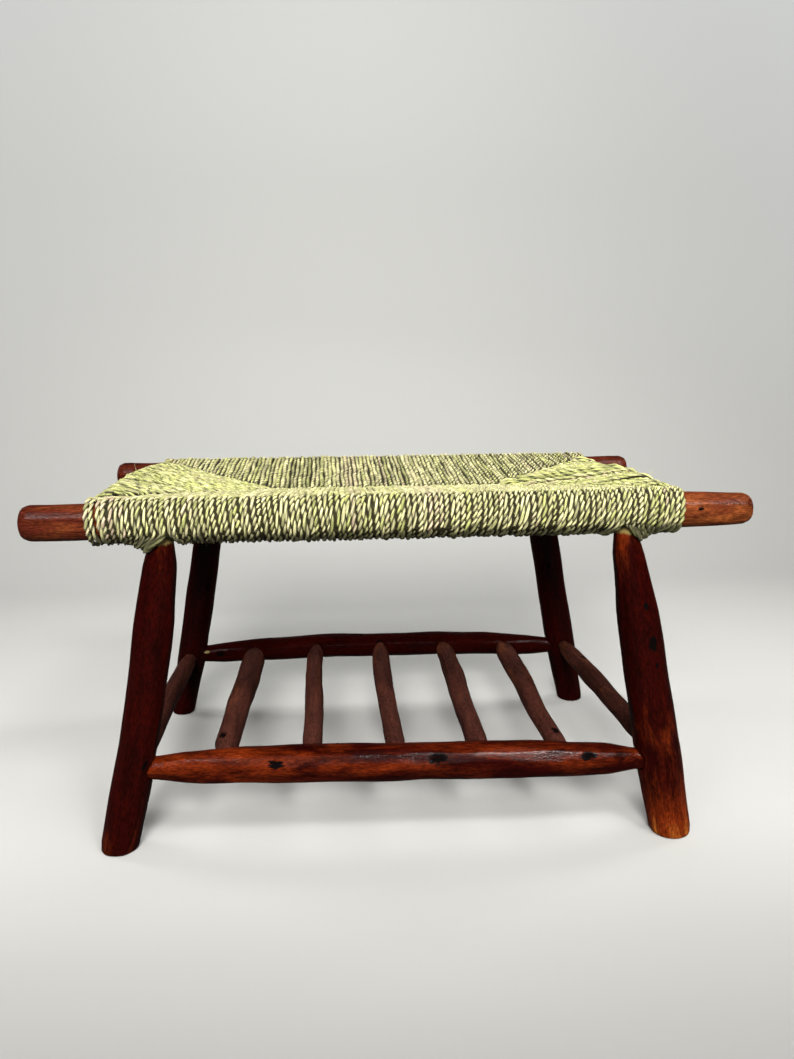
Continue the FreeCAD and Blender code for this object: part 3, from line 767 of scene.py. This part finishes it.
# Cords beside a leg: their room and slack, where the underside starts, which go outside, how many rooms
# they crowd over, and how high they pile up
LEG_ROOM = 0.0158
LEG_SLACK = 0.004
BELOW_START, BELOW_SPAN = 0.62, 0.25
OUTSIDE_FROM = -0.35
CROWD_REACH = 2.2
PILE_OUTSIDE, PILE_INSIDE = 0.0095, 0.002

# Lean of a cord: full at this distance from the middle, and nothing at this share of the way round the pole
LEAN_SPAN = 0.12
LEAN_FROM = 0.15

# Waves of a hand-wound cord, each a height and a length for one radian
LONG_SWAY, SHORT_SWAY = (0.00070, 0.031), (0.00045, 0.013)
RISE = (0.00030, 0.024)
LONG_TWIST, SHORT_TWIST = (0.35, 0.019), (0.25, 0.0071)
SWELL = (0.08, 0.0095)

# How cords differ: spacing of their rings, place along the pole, thickness, and both colours as beta shapes
STEP_SPREAD = (0.94, 1.06)
PLACE_SPREAD = 0.00025
THICK_SPREAD = 0.07
FIBRE_SHIFT = 40
GREEN_SHAPE, BROWN_SHAPE = (1.3, 2.0), (1.1, 3.2)
BROWN_DRIFT, BROWN_LENGTHS = 0.25, (0.023, 0.041)

# Painted shade under the roll: where it starts, what it takes to be full, and how dark it is
UNDER_START, UNDER_SPAN, UNDER_SHADE = 0.50, 0.34, 0.9
# How much a cord's crown lifts the painted shade in the gaps between cords
CROWN_LIGHT = 1.4

# Frayed blades: radius, lengths, and how far their roots, ways and droops stray
BLADE_RADIUS = 0.00038
BLADE_LENGTHS = (0.006, 0.016)
ROOT_SPREAD, WAY_SPREAD, DROOP_SPREAD = 0.004, 0.5, 0.35


def ply_profile(dia):
    """Closed profile of a two-ply cord: two lobes with a groove on each side."""
    curve = bpy.data.curves.new("ply_profile", "CURVE")
    curve.dimensions = "2D"
    line = curve.splines.new("POLY")
    line.points.add(PLY_POINTS - 1)
    line.use_cyclic_u = True
    for number, point in enumerate(line.points):
        turn = FULL_TURN * number / PLY_POINTS
        radius = dia / 2 * (PLY_WAIST + PLY_LOBE * math.cos(turn) ** 2)
        point.co = (radius * math.cos(turn), radius * math.sin(turn), 0.0, 1.0)
    return linked("ply_profile", curve)


@dataclass
class PanelSide:
    """One side of the seat: the pole that it is wound round, the way in from it and how its cords lie.

    gap is how dark the painted shade in the gaps between cords is. uneven is how far cords lie above or
    below each other, belly how far the middle ones bulge, crest how far they rise, and flare how far the
    corner ones rise, which slack_back leaves out of the back half. thick scales the cord, layer is how far
    it lies above the panel, in cord thicknesses, and fresh how green it is.
    """
    node: str
    pole_radius: float
    pole: tuple
    inward: tuple
    gap: float
    leg_names: tuple = ()
    uneven: float = 0.0004
    belly: float = 0.0
    flare: float = 0.0
    crest: float = 0.0
    slack_back: bool = False
    thick: float = 1.0
    layer: float = 0.0
    fresh: float = 0.0

    def __post_init__(self):
        """Work out where the side's cords lie and where they touch down on the pole."""
        dia = bpy.context.scene.bench_cord.dia
        self.pole = np.array(self.pole)
        self.inward = np.array(self.inward, dtype=float)
        self.sideways = abs(self.inward[[1, 0, 2]])
        self.legs = [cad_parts[name] for name in self.leg_names]
        self.sunk = SINK_SHARE * self.layer * dia
        self.edge_lift = (self.layer + 0.5) * dia
        self.winding = self.pole_radius + self.edge_lift + CLEARANCE
        self.reach = abs(self.pole @ self.inward)
        if self.inward[0]:
            self.reach -= VALLEY_END
        span = math.hypot(self.reach, self.edge_lift)
        self.lift = math.atan2(self.edge_lift, self.reach) + math.acos(self.winding / span)

    def half_section(self, inner):
        """Points of a cord's upper half from its inner end out to the pole's outer side."""
        touch = self.winding * np.array((math.cos(self.lift), math.sin(self.lift)))
        edge = np.array((self.reach, self.edge_lift))
        dive = bpy.context.scene.bench_cord.dia * DIVE
        first_turn = self.lift
        run = []
        if inner > touch[0] + 2 * dive:
            slope = (edge - touch) / (edge[0] - touch[0])
            foot = touch + slope * (inner - touch[0])
            knee = touch + slope * (inner - dive - touch[0])
            run = [foot - (0.0, dive), foot - SHOULDER * dive, knee, touch]
        else:
            first_turn = max(self.lift, math.acos(max(inner / self.winding, -0.9)))
        turns = np.linspace(first_turn, math.pi, ARC_POINTS)
        arc = self.winding * np.column_stack((np.cos(turns), np.sin(turns)))
        return np.vstack((run, arc[1:])) if len(run) else arc

    def route(self, inner, step):
        """Evenly spaced points in and up from the pole's axis, and their distances along the cord."""
        upper = self.half_section(inner)
        lower = upper[::-1][1:] * (1.0, -1.0)
        corners = np.vstack((upper, lower))
        lengths = np.concatenate(((0.0,), np.cumsum(np.linalg.norm(np.diff(corners, axis=0), axis=1))))
        count = max(int(lengths[-1] / step), 8) + 1
        places = np.linspace(0.0, lengths[-1], count)
        route = np.column_stack([np.interp(places, lengths, corners[:, axis]) for axis in (0, 1)])
        return route, places

    def outward(self, route):
        """Way out at each point of a route, in and up: from the pole round it, else up or down."""
        way = np.column_stack((np.minimum(route[:, 0], 0.0), route[:, 1]))
        return way / np.maximum(np.linalg.norm(way, axis=1, keepdims=True), 1e-6)

    def bulged(self, route, share):
        """Route of a cord at a share of the panel's half length, pushed out where the panel bulges.

        The belly is fullest a little before the middle, on the front side. A cord that lies above the
        panel does so only on top, and sinks in between the others elsewhere.
        """
        on_top = np.clip(route[:, 1] / self.winding, 0.0, 1.0)
        route = route - self.outward(route) * (self.sunk * (1 - on_top))[:, None]
        near_pole = np.clip(1 - np.maximum(route[:, 0], 0.0) / BULGE_REACH, 0.0, 1.0) ** 2
        out = self.belly * (1.1 - 0.25 * share - 0.55 * share ** 2) * near_pole
        up = (self.crest * (1 - share ** 2) + self.flare * share ** 4) * near_pole
        if self.slack_back:
            up = up * min(max(0.6 - 2.0 * share, 0.0), 1.0)
        return route + np.column_stack((-out, up * np.sign(route[:, 1])))

    def world(self, sideways, route):
        """Points in the frame from a place along the pole and a route round it."""
        return self.pole + np.asarray(sideways)[:, None] * self.sideways + self.turned(route)

    def turned(self, section):
        """Vectors in the frame from vectors in and up."""
        return section[:, :1] * self.inward + section[:, 1:] * np.array((0.0, 0.0, 1.0))


def leg_line(leg, skin=0.001, below=0.06, band=0.03):
    """A leg's axis where it enters the seat: the middle of its top, and the way there from below."""
    points = points_of(leg.data)
    top = points[:, 2].max()
    upper = points[points[:, 2] > top - skin].mean(0)
    lower = points[abs(points[:, 2] - (top - below)) < band].mean(0)
    return upper, (upper - lower) / np.linalg.norm(upper - lower)


def parted(side, sideways, route, clear):
    """Push a cord's points aside where a leg comes through, and pile them up beside it."""
    crowd = CROWD_REACH * clear
    for leg in side.legs:
        top, direction = leg_line(leg)
        middle = (top - side.pole) @ side.sideways
        outward = math.copysign(1.0, middle)
        world = side.world(sideways, route)
        away = world - top
        away -= (away @ direction)[:, None] * direction
        along = away @ side.sideways
        other = np.linalg.norm(away - along[:, None] * side.sideways, axis=1)
        below = np.clip((-route[:, 1] / side.winding - BELOW_START) / BELOW_SPAN, 0.0, 1.0)
        room = np.sqrt(np.maximum(clear ** 2 - np.maximum(other - LEG_SLACK, 0.0) ** 2, 0.0)) * below
        goes_out = np.median(along) * outward > OUTSIDE_FROM * clear
        way = outward if goes_out else -outward
        distance = along * way
        packed = room + np.maximum(distance, 0.0) * (1 - room / crowd)
        wanted = np.where((distance < crowd) & (room > 0), np.maximum(packed, room), distance)
        push = np.convolve(np.pad(wanted - distance, 2, mode="edge"), np.ones(5) / 5, mode="valid")
        sideways = sideways + push * way
        pile = np.clip(push / clear, 0.0, 1.0) ** 1.5 * (PILE_OUTSIDE if goes_out else PILE_INSIDE)
        lengths = np.linalg.norm(route, axis=1, keepdims=True)
        route = route + route / lengths * pile[:, None]
    return sideways, route


def close_ends(mesh):
    """Cap the open ends of a mesh's cords."""
    shape = bmesh.new()
    shape.from_mesh(mesh)
    rims = [edge for edge in shape.edges if edge.is_boundary]
    bmesh.ops.holes_fill(shape, edges=rims, sides=PLY_POINTS)
    shape.to_mesh(mesh)
    shape.free()


def wave(distance, phase, height, length):
    """Wave along a cord, from its height and its length for one radian."""
    return height * np.sin(distance / length + phase)


def add_spline(curve, points, twist, thick):
    """Add a cord's line to a curve, with its twist and its thickness."""
    line = curve.splines.new("POLY")
    line.points.add(len(points) - 1)
    line.points.foreach_set("co", np.column_stack((points, np.ones(len(points)))).astype(np.float32).ravel())
    line.points.foreach_set("tilt", twist.astype(np.float32))
    line.points.foreach_set("radius", thick.astype(np.float32))


def wind_cords(side, places, half_span, inner_of, name, seed, profile):
    """Cords of one panel at places along its pole, within the panel's half span, as one mesh."""
    cord = bpy.context.scene.bench_cord
    rng = np.random.default_rng(seed)
    step = cord.lay * side.thick / RINGS_PER_TURN
    curve = bpy.data.curves.new(name, "CURVE")
    curve.dimensions = "3D"
    curve.twist_mode = "MINIMUM"
    curve.bevel_mode = "OBJECT"
    curve.bevel_object = profile
    fibres, strands, centres, ways_out = [], [], [], []
    for at in places:
        route, distance = side.route(inner_of(at), step * rng.uniform(*STEP_SPREAD))
        phase = rng.uniform(0, FULL_TURN, 4)
        sway = wave(distance, phase[0], *LONG_SWAY) + wave(distance, phase[1], *SHORT_SWAY)
        lean_side = math.copysign(min(1.0, abs(at) / LEAN_SPAN), at) if side.legs else 0.0
        round_pole = np.clip(0.5 - route[:, 1] / side.winding / 2, 0.0, 1.0)
        sideways = at + rng.normal(0, PLACE_SPREAD) + sway - cord.lean * lean_side * (round_pole - LEAN_FROM)
        sideways, route = parted(side, sideways, route, LEG_ROOM)
        rise = wave(distance, phase[2], *RISE) + rng.normal(0, side.uneven)
        route = route * (1 + rise / np.maximum(np.linalg.norm(route, axis=1), 0.01))[:, None]
        route = side.bulged(route, at / half_span)
        points = side.world(sideways, route)
        centres.append(np.repeat(points, PLY_POINTS, axis=0))
        ways_out.append(np.repeat(side.turned(side.outward(route)), PLY_POINTS, axis=0))

        rate = 1 + wave(distance, phase[1], *LONG_TWIST) + wave(distance, phase[2], *SHORT_TWIST)
        twist = rng.uniform(0, FULL_TURN) + FULL_TURN / RINGS_PER_TURN * np.cumsum(rate)
        thick = side.thick * rng.normal(1.0, THICK_SPREAD) * (1 + wave(distance, phase[3], *SWELL))
        add_spline(curve, points, twist, thick)

        turn = np.tile(FULL_TURN * np.arange(PLY_POINTS) / PLY_POINTS, len(points))
        shift = rng.uniform(0, FIBRE_SHIFT)
        fibres.append(shift + np.column_stack((
            cord.dia / 2 * np.cos(turn), cord.dia / 2 * np.sin(turn), np.repeat(distance, PLY_POINTS))))
        first_ply = np.cos(turn) > 0.0
        hue = np.where(first_ply, *rng.beta(*GREEN_SHAPE, 2)) + side.fresh
        browned = np.where(first_ply, *rng.beta(*BROWN_SHAPE, 2))
        browned += BROWN_DRIFT * math.prod(math.sin(at / length) for length in BROWN_LENGTHS)
        # Painted shade: in the groove between the plies, and where the cord turns under the pole
        under = np.repeat(np.clip((round_pole - UNDER_START) / UNDER_SPAN, 0.0, 1.0), PLY_POINTS)
        strands.append(np.column_stack((hue, browned, np.maximum(np.sin(turn) ** 2, UNDER_SHADE * under))))

    mesh = mesh_of_curve(name, curve)
    shade_smooth(mesh)
    store(mesh, "fibre", np.vstack(fibres))
    strands = np.vstack(strands)
    # Painted shade on each cord's sides, deeper the further they dip from its crown into the gaps
    crown = ((points_of(mesh) - np.vstack(centres)) * np.vstack(ways_out)).sum(1)
    crown /= side.thick * cord.dia / 2
    strands[:, 2] = np.maximum(strands[:, 2], np.clip(side.gap - CROWN_LIGHT * crown, 0.0, 1.0))
    store(mesh, "strand", strands)
    close_ends(mesh)
    settle(linked(name, mesh), side.node, seat_cord())


def evenly(half_span, pitch):
    """Places along a pole at about a pitch, over a span with its middle at zero."""
    count = int(2 * half_span / pitch)
    return np.linspace(-half_span, half_span, count + 1)


class BENCH_OT_stuffing(bpy.types.Operator):
    """Stuffing between the two layers of cord"""
    bl_idname = "bench.stuffing"
    bl_label = "Stuffing"

    def execute(self, context):
        material = stuffing_material()
        depth = 0.75 * context.scene.bench_cord.dia
        # Round the long poles the stuffing stops short, because the winding ends before the solid does
        widest = WEAVE_END - 0.014
        round_pole = RAIL_Y - RAIL_RADIUS + 0.008
        for node in WEAVES:
            piece = merged_copy(node, f"{node}_stuffing")
            shape = bmesh.new()
            shape.from_mesh(piece.data)
            shape.normal_update()
            moves = [(vertex, self.sinking(vertex, depth)) for vertex in shape.verts]
            for vertex, move in moves:
                vertex.co -= move
                if abs(vertex.co.y) > round_pole:
                    vertex.co.x = max(min(vertex.co.x, widest), -widest)
            shape.to_mesh(piece.data)
            shape.free()
            settle(piece, node, material)
        return {"FINISHED"}

    def sinking(self, vertex, depth, near=0.002):
        """Way that a point sinks: along its normal, but not away from a mitre or the valley."""
        move = vertex.normal * depth
        x, y = vertex.co.x, vertex.co.y
        if abs(y) < near:
            return Vector((0.0, 0.0, move.z))
        if abs(abs(x) - abs(y) - VALLEY_END) < near:
            across = Vector((math.copysign(1.0, x), -math.copysign(1.0, y), 0.0)).normalized()
            move -= across * move.dot(across)
        return move


class BENCH_OT_long_panels(bpy.types.Operator):
    """Front and back panels of cord, wound round the long seat poles"""
    bl_idname = "bench.long_panels"
    bl_label = "Long Panels"

    def execute(self, context):
        cord = context.scene.bench_cord
        profile = ply_profile(cord.dia)
        half_span = WEAVE_END - cord.dia / 2

        def inner_of(at):
            """Where the cord at a place along the pole starts, in from the pole."""
            return RAIL_Y - max(abs(at) - VALLEY_END, 0.0) - INNER_GAP * cord.dia

        # The last value of each row is how dark the painted shade in its gaps is
        rows = (("front", 1.0, -0.0065, 0.0025, 1.1), ("back", -1.0, -0.001, 0.001, 1.5))
        for row, toward, shift, short, gap in rows:
            side = PanelSide(f"{row}_weave", RAIL_RADIUS, (0.0, -toward * RAIL_Y, RAIL_HEIGHT),
                             (0.0, toward, 0.0), gap, (f"{row}_left_leg", f"{row}_right_leg"))
            places = evenly(half_span - short, cord.pitch) + shift
            for number, part in enumerate(np.array_split(places, 3), start=1):
                wind_cords(side, part, half_span, inner_of, f"{row}_cords_{number}",
                           100 * number + int(toward), profile)
        bpy.data.objects.remove(profile)
        return {"FINISHED"}


class BENCH_OT_end_panels(bpy.types.Operator):
    """Left and right panels of cord, wound round the end poles, with thick ropes on the right one"""
    bl_idname = "bench.end_panels"
    bl_label = "End Panels"

    def execute(self, context):
        cord = context.scene.bench_cord
        profile = ply_profile(cord.dia)
        half_span = RAIL_Y - RAIL_RADIUS - cord.dia

        def inner_of(at):
            """Where the cord at a place along the pole starts, in from the pole."""
            return END_RAIL_X - VALLEY_END - abs(at) - INNER_GAP * cord.dia

        # The last value of each hand is how dark the painted shade in its gaps is
        hands = (("left", 1.0, 0.0085, 0.0125, 1.1), ("right", -1.0, 0.0020, 0.0085, 0.75))
        for hand, toward, crest, belly, gap in hands:
            pole = (-toward * END_RAIL_X, 0.0, RAIL_HEIGHT)
            shape = {"belly": belly, "flare": RAIL_RADIUS - END_RAIL_RADIUS, "gap": gap, "fresh": 0.3}
            side = PanelSide(f"{hand}_weave", END_RAIL_RADIUS, pole, (toward, 0.0, 0.0), uneven=0.0011,
                             crest=crest, slack_back=hand == "right", **shape)
            wind_cords(side, evenly(half_span, cord.pitch), half_span, inner_of, f"{hand}_cords",
                       500 + int(toward), profile)
        ropes = PanelSide(side.node, END_RAIL_RADIUS, pole, (toward, 0.0, 0.0), thick=1.35, layer=0.85,
                          **shape)
        wind_cords(ropes, (-0.038, -0.012, 0.014), half_span, inner_of, "right_ropes", 510, profile)
        bpy.data.objects.remove(profile)
        return {"FINISHED"}


class BENCH_OT_frayed_blades(bpy.types.Operator):
    """Short blades of grass that stand out of the cords, most of them at the seat's edges"""
    bl_idname = "bench.frayed_blades"
    bl_label = "Frayed Blades"

    def execute(self, context):
        rng = np.random.default_rng(900)
        tufts = {
            "right_cords": (
                ((0.345, -0.075, 0.430), (0.3, -0.2, 1.4), 6),
                ((0.350, -0.035, 0.430), (0.8, 0.0, 1.0), 4)),
            "left_cords": (((-0.350, 0.040, 0.430), (-0.4, 0.0, 1.0), 2),),
            "front_cords_1": (
                ((-0.336, -0.172, 0.429), (-0.5, 0.1, 1.0), 2),
                ((-0.22, -0.185, 0.379), (0.2, -0.6, -1.0), 2)),
            "front_cords_3": (((0.20, -0.180, 0.380), (0.3, -0.5, -1.0), 3),),
        }
        for row, places in tufts.items():
            panel = bpy.data.objects[row]
            curve = bpy.data.curves.new(f"{row}_blades", "CURVE")
            curve.dimensions = "3D"
            curve.bevel_depth = BLADE_RADIUS
            curve.bevel_resolution = 0
            for start, way, count in places:
                for _ in range(count):
                    nearest = panel.closest_point_on_mesh(start + rng.normal(0, ROOT_SPREAD, 3))[1]
                    self.blade(curve, np.array(nearest), np.array(way) + rng.normal(0, WAY_SPREAD, 3),
                               rng.uniform(*BLADE_LENGTHS), rng)
            mesh = mesh_of_curve(f"{row}_blades", curve)
            close_ends(mesh)
            settle(linked(mesh.name, mesh), f"{row.split('_')[0]}_weave", seat_cord())
        return {"FINISHED"}

    def blade(self, curve, root, way, length, rng):
        """One curved blade that starts just inside the cord and thins to its tip."""
        way = way / np.linalg.norm(way)
        droop = rng.normal(0, DROOP_SPREAD, 3)
        line = curve.splines.new("NURBS")
        line.points.add(3)
        for number, point in enumerate(line.points):
            reach = number / 3
            point.co = (*(root + length * ((reach - 0.1) * way + 0.5 * reach ** 2 * droop)), 1.0)
            point.radius = 1.0 - 0.75 * reach
        line.order_u = 3
        line.use_endpoint_u = True


# Stage

def camera_matrix(stage):
    """Camera's place and turn in the frame."""
    level = Matrix.Rotation(-stage.turn, 4, "Z") @ Matrix.Rotation(math.pi / 2 - stage.tilt, 4, "X")
    return Matrix.Translation(stage.camera_place) @ level @ Matrix.Rotation(stage.roll, 4, "Z")


def sweep(name, half_width, front, back, radius, height):
    """Floor that curves up into a wall far behind."""
    shape = bmesh.new()
    start = shape.verts.new((-half_width, front, 0.0))
    bend = shape.verts.new((-half_width, back, 0.0))
    shape.edges.new((start, bend))
    bmesh.ops.spin(shape, geom=[bend], cent=(-half_width, back, radius), axis=(1.0, 0.0, 0.0),
                   angle=math.pi / 2, steps=32)
    top = max(shape.verts, key=lambda vertex: vertex.co.z)
    shape.edges.new((top, shape.verts.new((-half_width, back + radius, height))))
    made = bmesh.ops.extrude_edge_only(shape, edges=shape.edges[:])
    moved = [part for part in made["geom"] if isinstance(part, bmesh.types.BMVert)]
    bmesh.ops.translate(shape, verts=moved, vec=(2 * half_width, 0.0, 0.0))
    bmesh.ops.recalc_face_normals(shape, faces=shape.faces)
    mesh = bpy.data.meshes.new(name)
    shape.to_mesh(mesh)
    shape.free()
    shade_smooth(mesh)
    return linked(name, mesh)


def floor_material(tint, air):
    """Matt paper with painted shade darker towards the front, and far off lost in a painted glow of the air.

    It throws back little light, so that the varnish stays dark.
    """
    material, tree, shader = new_material("floor")
    ray = place(tree, "ShaderNodeLightPath")
    seen = ray.outputs["Is Camera Ray"]
    spot = place(tree, "ShaderNodeTexCoord").outputs["Object"]
    depth = axes_of(tree, spot)[1]
    distance = place(tree, "ShaderNodeVectorMath", {0: spot}, operation="LENGTH").outputs["Value"]
    # Painted glow far off: the floor's colour gives way to the air's, shining by itself
    far = ramp(tree, distance, 2.3, 4.6)
    # Painted shade: the floor darker towards the front
    shaded = scaled(tree, colour(tint), ramp(tree, depth, -0.64, -0.15, 0.5, 1.0))
    shaded = mixed(tree, far, shaded, colour((0.0, 0.0, 0.0)))
    dim = scaled(tree, colour(tint), ramp(tree, ray.outputs["Is Glossy Ray"], 0.0, 1.0, 0.22, 0.05))
    fill(tree, shader, {
        "Base Color": mixed(tree, seen, dim, shaded),
        "Roughness": 0.9,
        "Specular IOR Level": 0.1,
        "Emission Color": colour(air),
        "Emission Strength": math_step(tree, "MULTIPLY", far, seen),
    })
    return material


def soft_air(tint):
    """World of even light, dimmer where it is only mirrored in the varnish."""
    world = bpy.data.worlds.new("air")
    world.use_nodes = True
    tree = world.node_tree
    ray = place(tree, "ShaderNodeLightPath")
    lit = ramp(tree, ray.outputs["Is Glossy Ray"], 0.0, 1.0, 0.25, 0.03)
    shown = math_step(tree, "MAXIMUM", lit, ray.outputs["Is Camera Ray"])
    fill(tree, tree.nodes["Background"], {"Color": colour(tint), "Strength": shown})
    return world


def soft_light(name, place_at, aim_at, size, power, tint, mirrored=True, spread=180):
    """Square light aimed at a point, whether the varnish mirrors it, and its spread in degrees."""
    data = bpy.data.lights.new(name, "AREA")
    data.shape = "SQUARE"
    data.size = size
    data.energy = power
    data.color = tint
    data.spread = math.radians(spread)
    light = linked(name, data)
    light.location = place_at
    light.visible_camera = False
    light.visible_glossy = mirrored
    light.rotation_euler = (Vector(aim_at) - Vector(place_at)).to_track_quat("-Z", "Y").to_euler()


class BENCH_OT_stage(bpy.types.Operator):
    """Pale floor, soft light and the camera"""
    bl_idname = "bench.stage"
    bl_label = "Stage"

    def execute(self, context):
        stage = context.scene.bench_stage
        floor = sweep("floor", half_width=9.0, front=-8.0, back=1.0, radius=1.3, height=4.0)
        floor.data.materials.append(floor_material(stage.floor, stage.air))
        context.scene.world = soft_air(stage.air)
        middle = (0.0, 0.0, 0.25)
        wall = (0.0, 2.3, 0.85)
        warm = (1.0, 0.99, 0.97)
        cool = (0.97, 1.0, 1.0)
        soft_light("front", (-0.4, -3.7, 2.4), middle, size=1.3, power=282.0, tint=warm, mirrored=False)
        soft_light("high", (0.1, 0.5, 2.9), middle, size=1.0, power=4.0, tint=warm, mirrored=False)
        for hand, across in (("left", -2.6), ("right", 2.6)):
            soft_light(f"{hand}_side", (across, 0.8, 1.7), middle, size=0.9, power=3.5, tint=warm,
                       mirrored=False, spread=55)
        for name, across, power in (("left", -1.05, 8.0), ("middle", 0.67, 26.0), ("right", 1.34, 9.0)):
            soft_light(name, (across, -1.5, 2.05), middle, size=0.42, power=power, tint=warm)
        soft_light("low", (0.3, -4.0, 1.9), middle, size=0.5, power=2.5, tint=warm)
        soft_light("wall", (0.0, 0.7, 2.3), wall, size=1.0, power=12.0, tint=cool, mirrored=False)
        soft_light("back", (0.2, 1.5, 1.5), middle, size=1.2, power=4.0, tint=warm, mirrored=False)

        data = bpy.data.cameras.new("camera")
        data.lens = stage.lens
        camera = linked("camera", data)
        camera.matrix_world = camera_matrix(stage)
        context.scene.camera = camera
        context.scene.view_settings.view_transform = "Standard"
        return {"FINISHED"}


class BENCH_PT_sidebar(bpy.types.Panel):
    """Bench tools in the sidebar"""
    bl_idname = "BENCH_PT_sidebar"
    bl_label = "Woven Seat Bench"
    bl_space_type = "VIEW_3D"
    bl_region_type = "UI"
    bl_category = "Bench"

    def draw(self, context):
        for operator in OPERATORS:
            self.layout.operator(operator.bl_idname)
        for group in GROUPS:
            settings = getattr(context.scene, group)
            for name in settings.bl_rna.properties.keys():
                if name not in ("rna_type", "name"):
                    self.layout.prop(settings, name)


OPERATORS = (
    BENCH_OT_seat_poles,
    BENCH_OT_legs,
    BENCH_OT_stretchers,
    BENCH_OT_shelf,
    BENCH_OT_stuffing,
    BENCH_OT_long_panels,
    BENCH_OT_end_panels,
    BENCH_OT_frayed_blades,
    BENCH_OT_stage,
)
GROUPS = {"bench_wood": BenchWood, "bench_cord": BenchCord, "bench_stage": BenchStage}
CLASSES = (*GROUPS.values(), *OPERATORS, BENCH_PT_sidebar)


def register():
    """Add the settings, operators and panel."""
    for made in CLASSES:
        bpy.utils.register_class(made)
    for name, group in GROUPS.items():
        setattr(bpy.types.Scene, name, PointerProperty(type=group))


def unregister():
    """Take them away again."""
    for name in GROUPS:
        delattr(bpy.types.Scene, name)
    for made in reversed(CLASSES):
        bpy.utils.unregister_class(made)


def main():
    """Build the bench's finish in the frame."""
    register()
    bpy.ops.bench.seat_poles()
    bpy.ops.bench.legs()
    bpy.ops.bench.stretchers()
    bpy.ops.bench.shelf()
    bpy.ops.bench.stuffing()
    bpy.ops.bench.long_panels()
    bpy.ops.bench.end_panels()
    bpy.ops.bench.frayed_blades()
    bpy.ops.bench.stage()


if __name__ == "__main__":
    main()
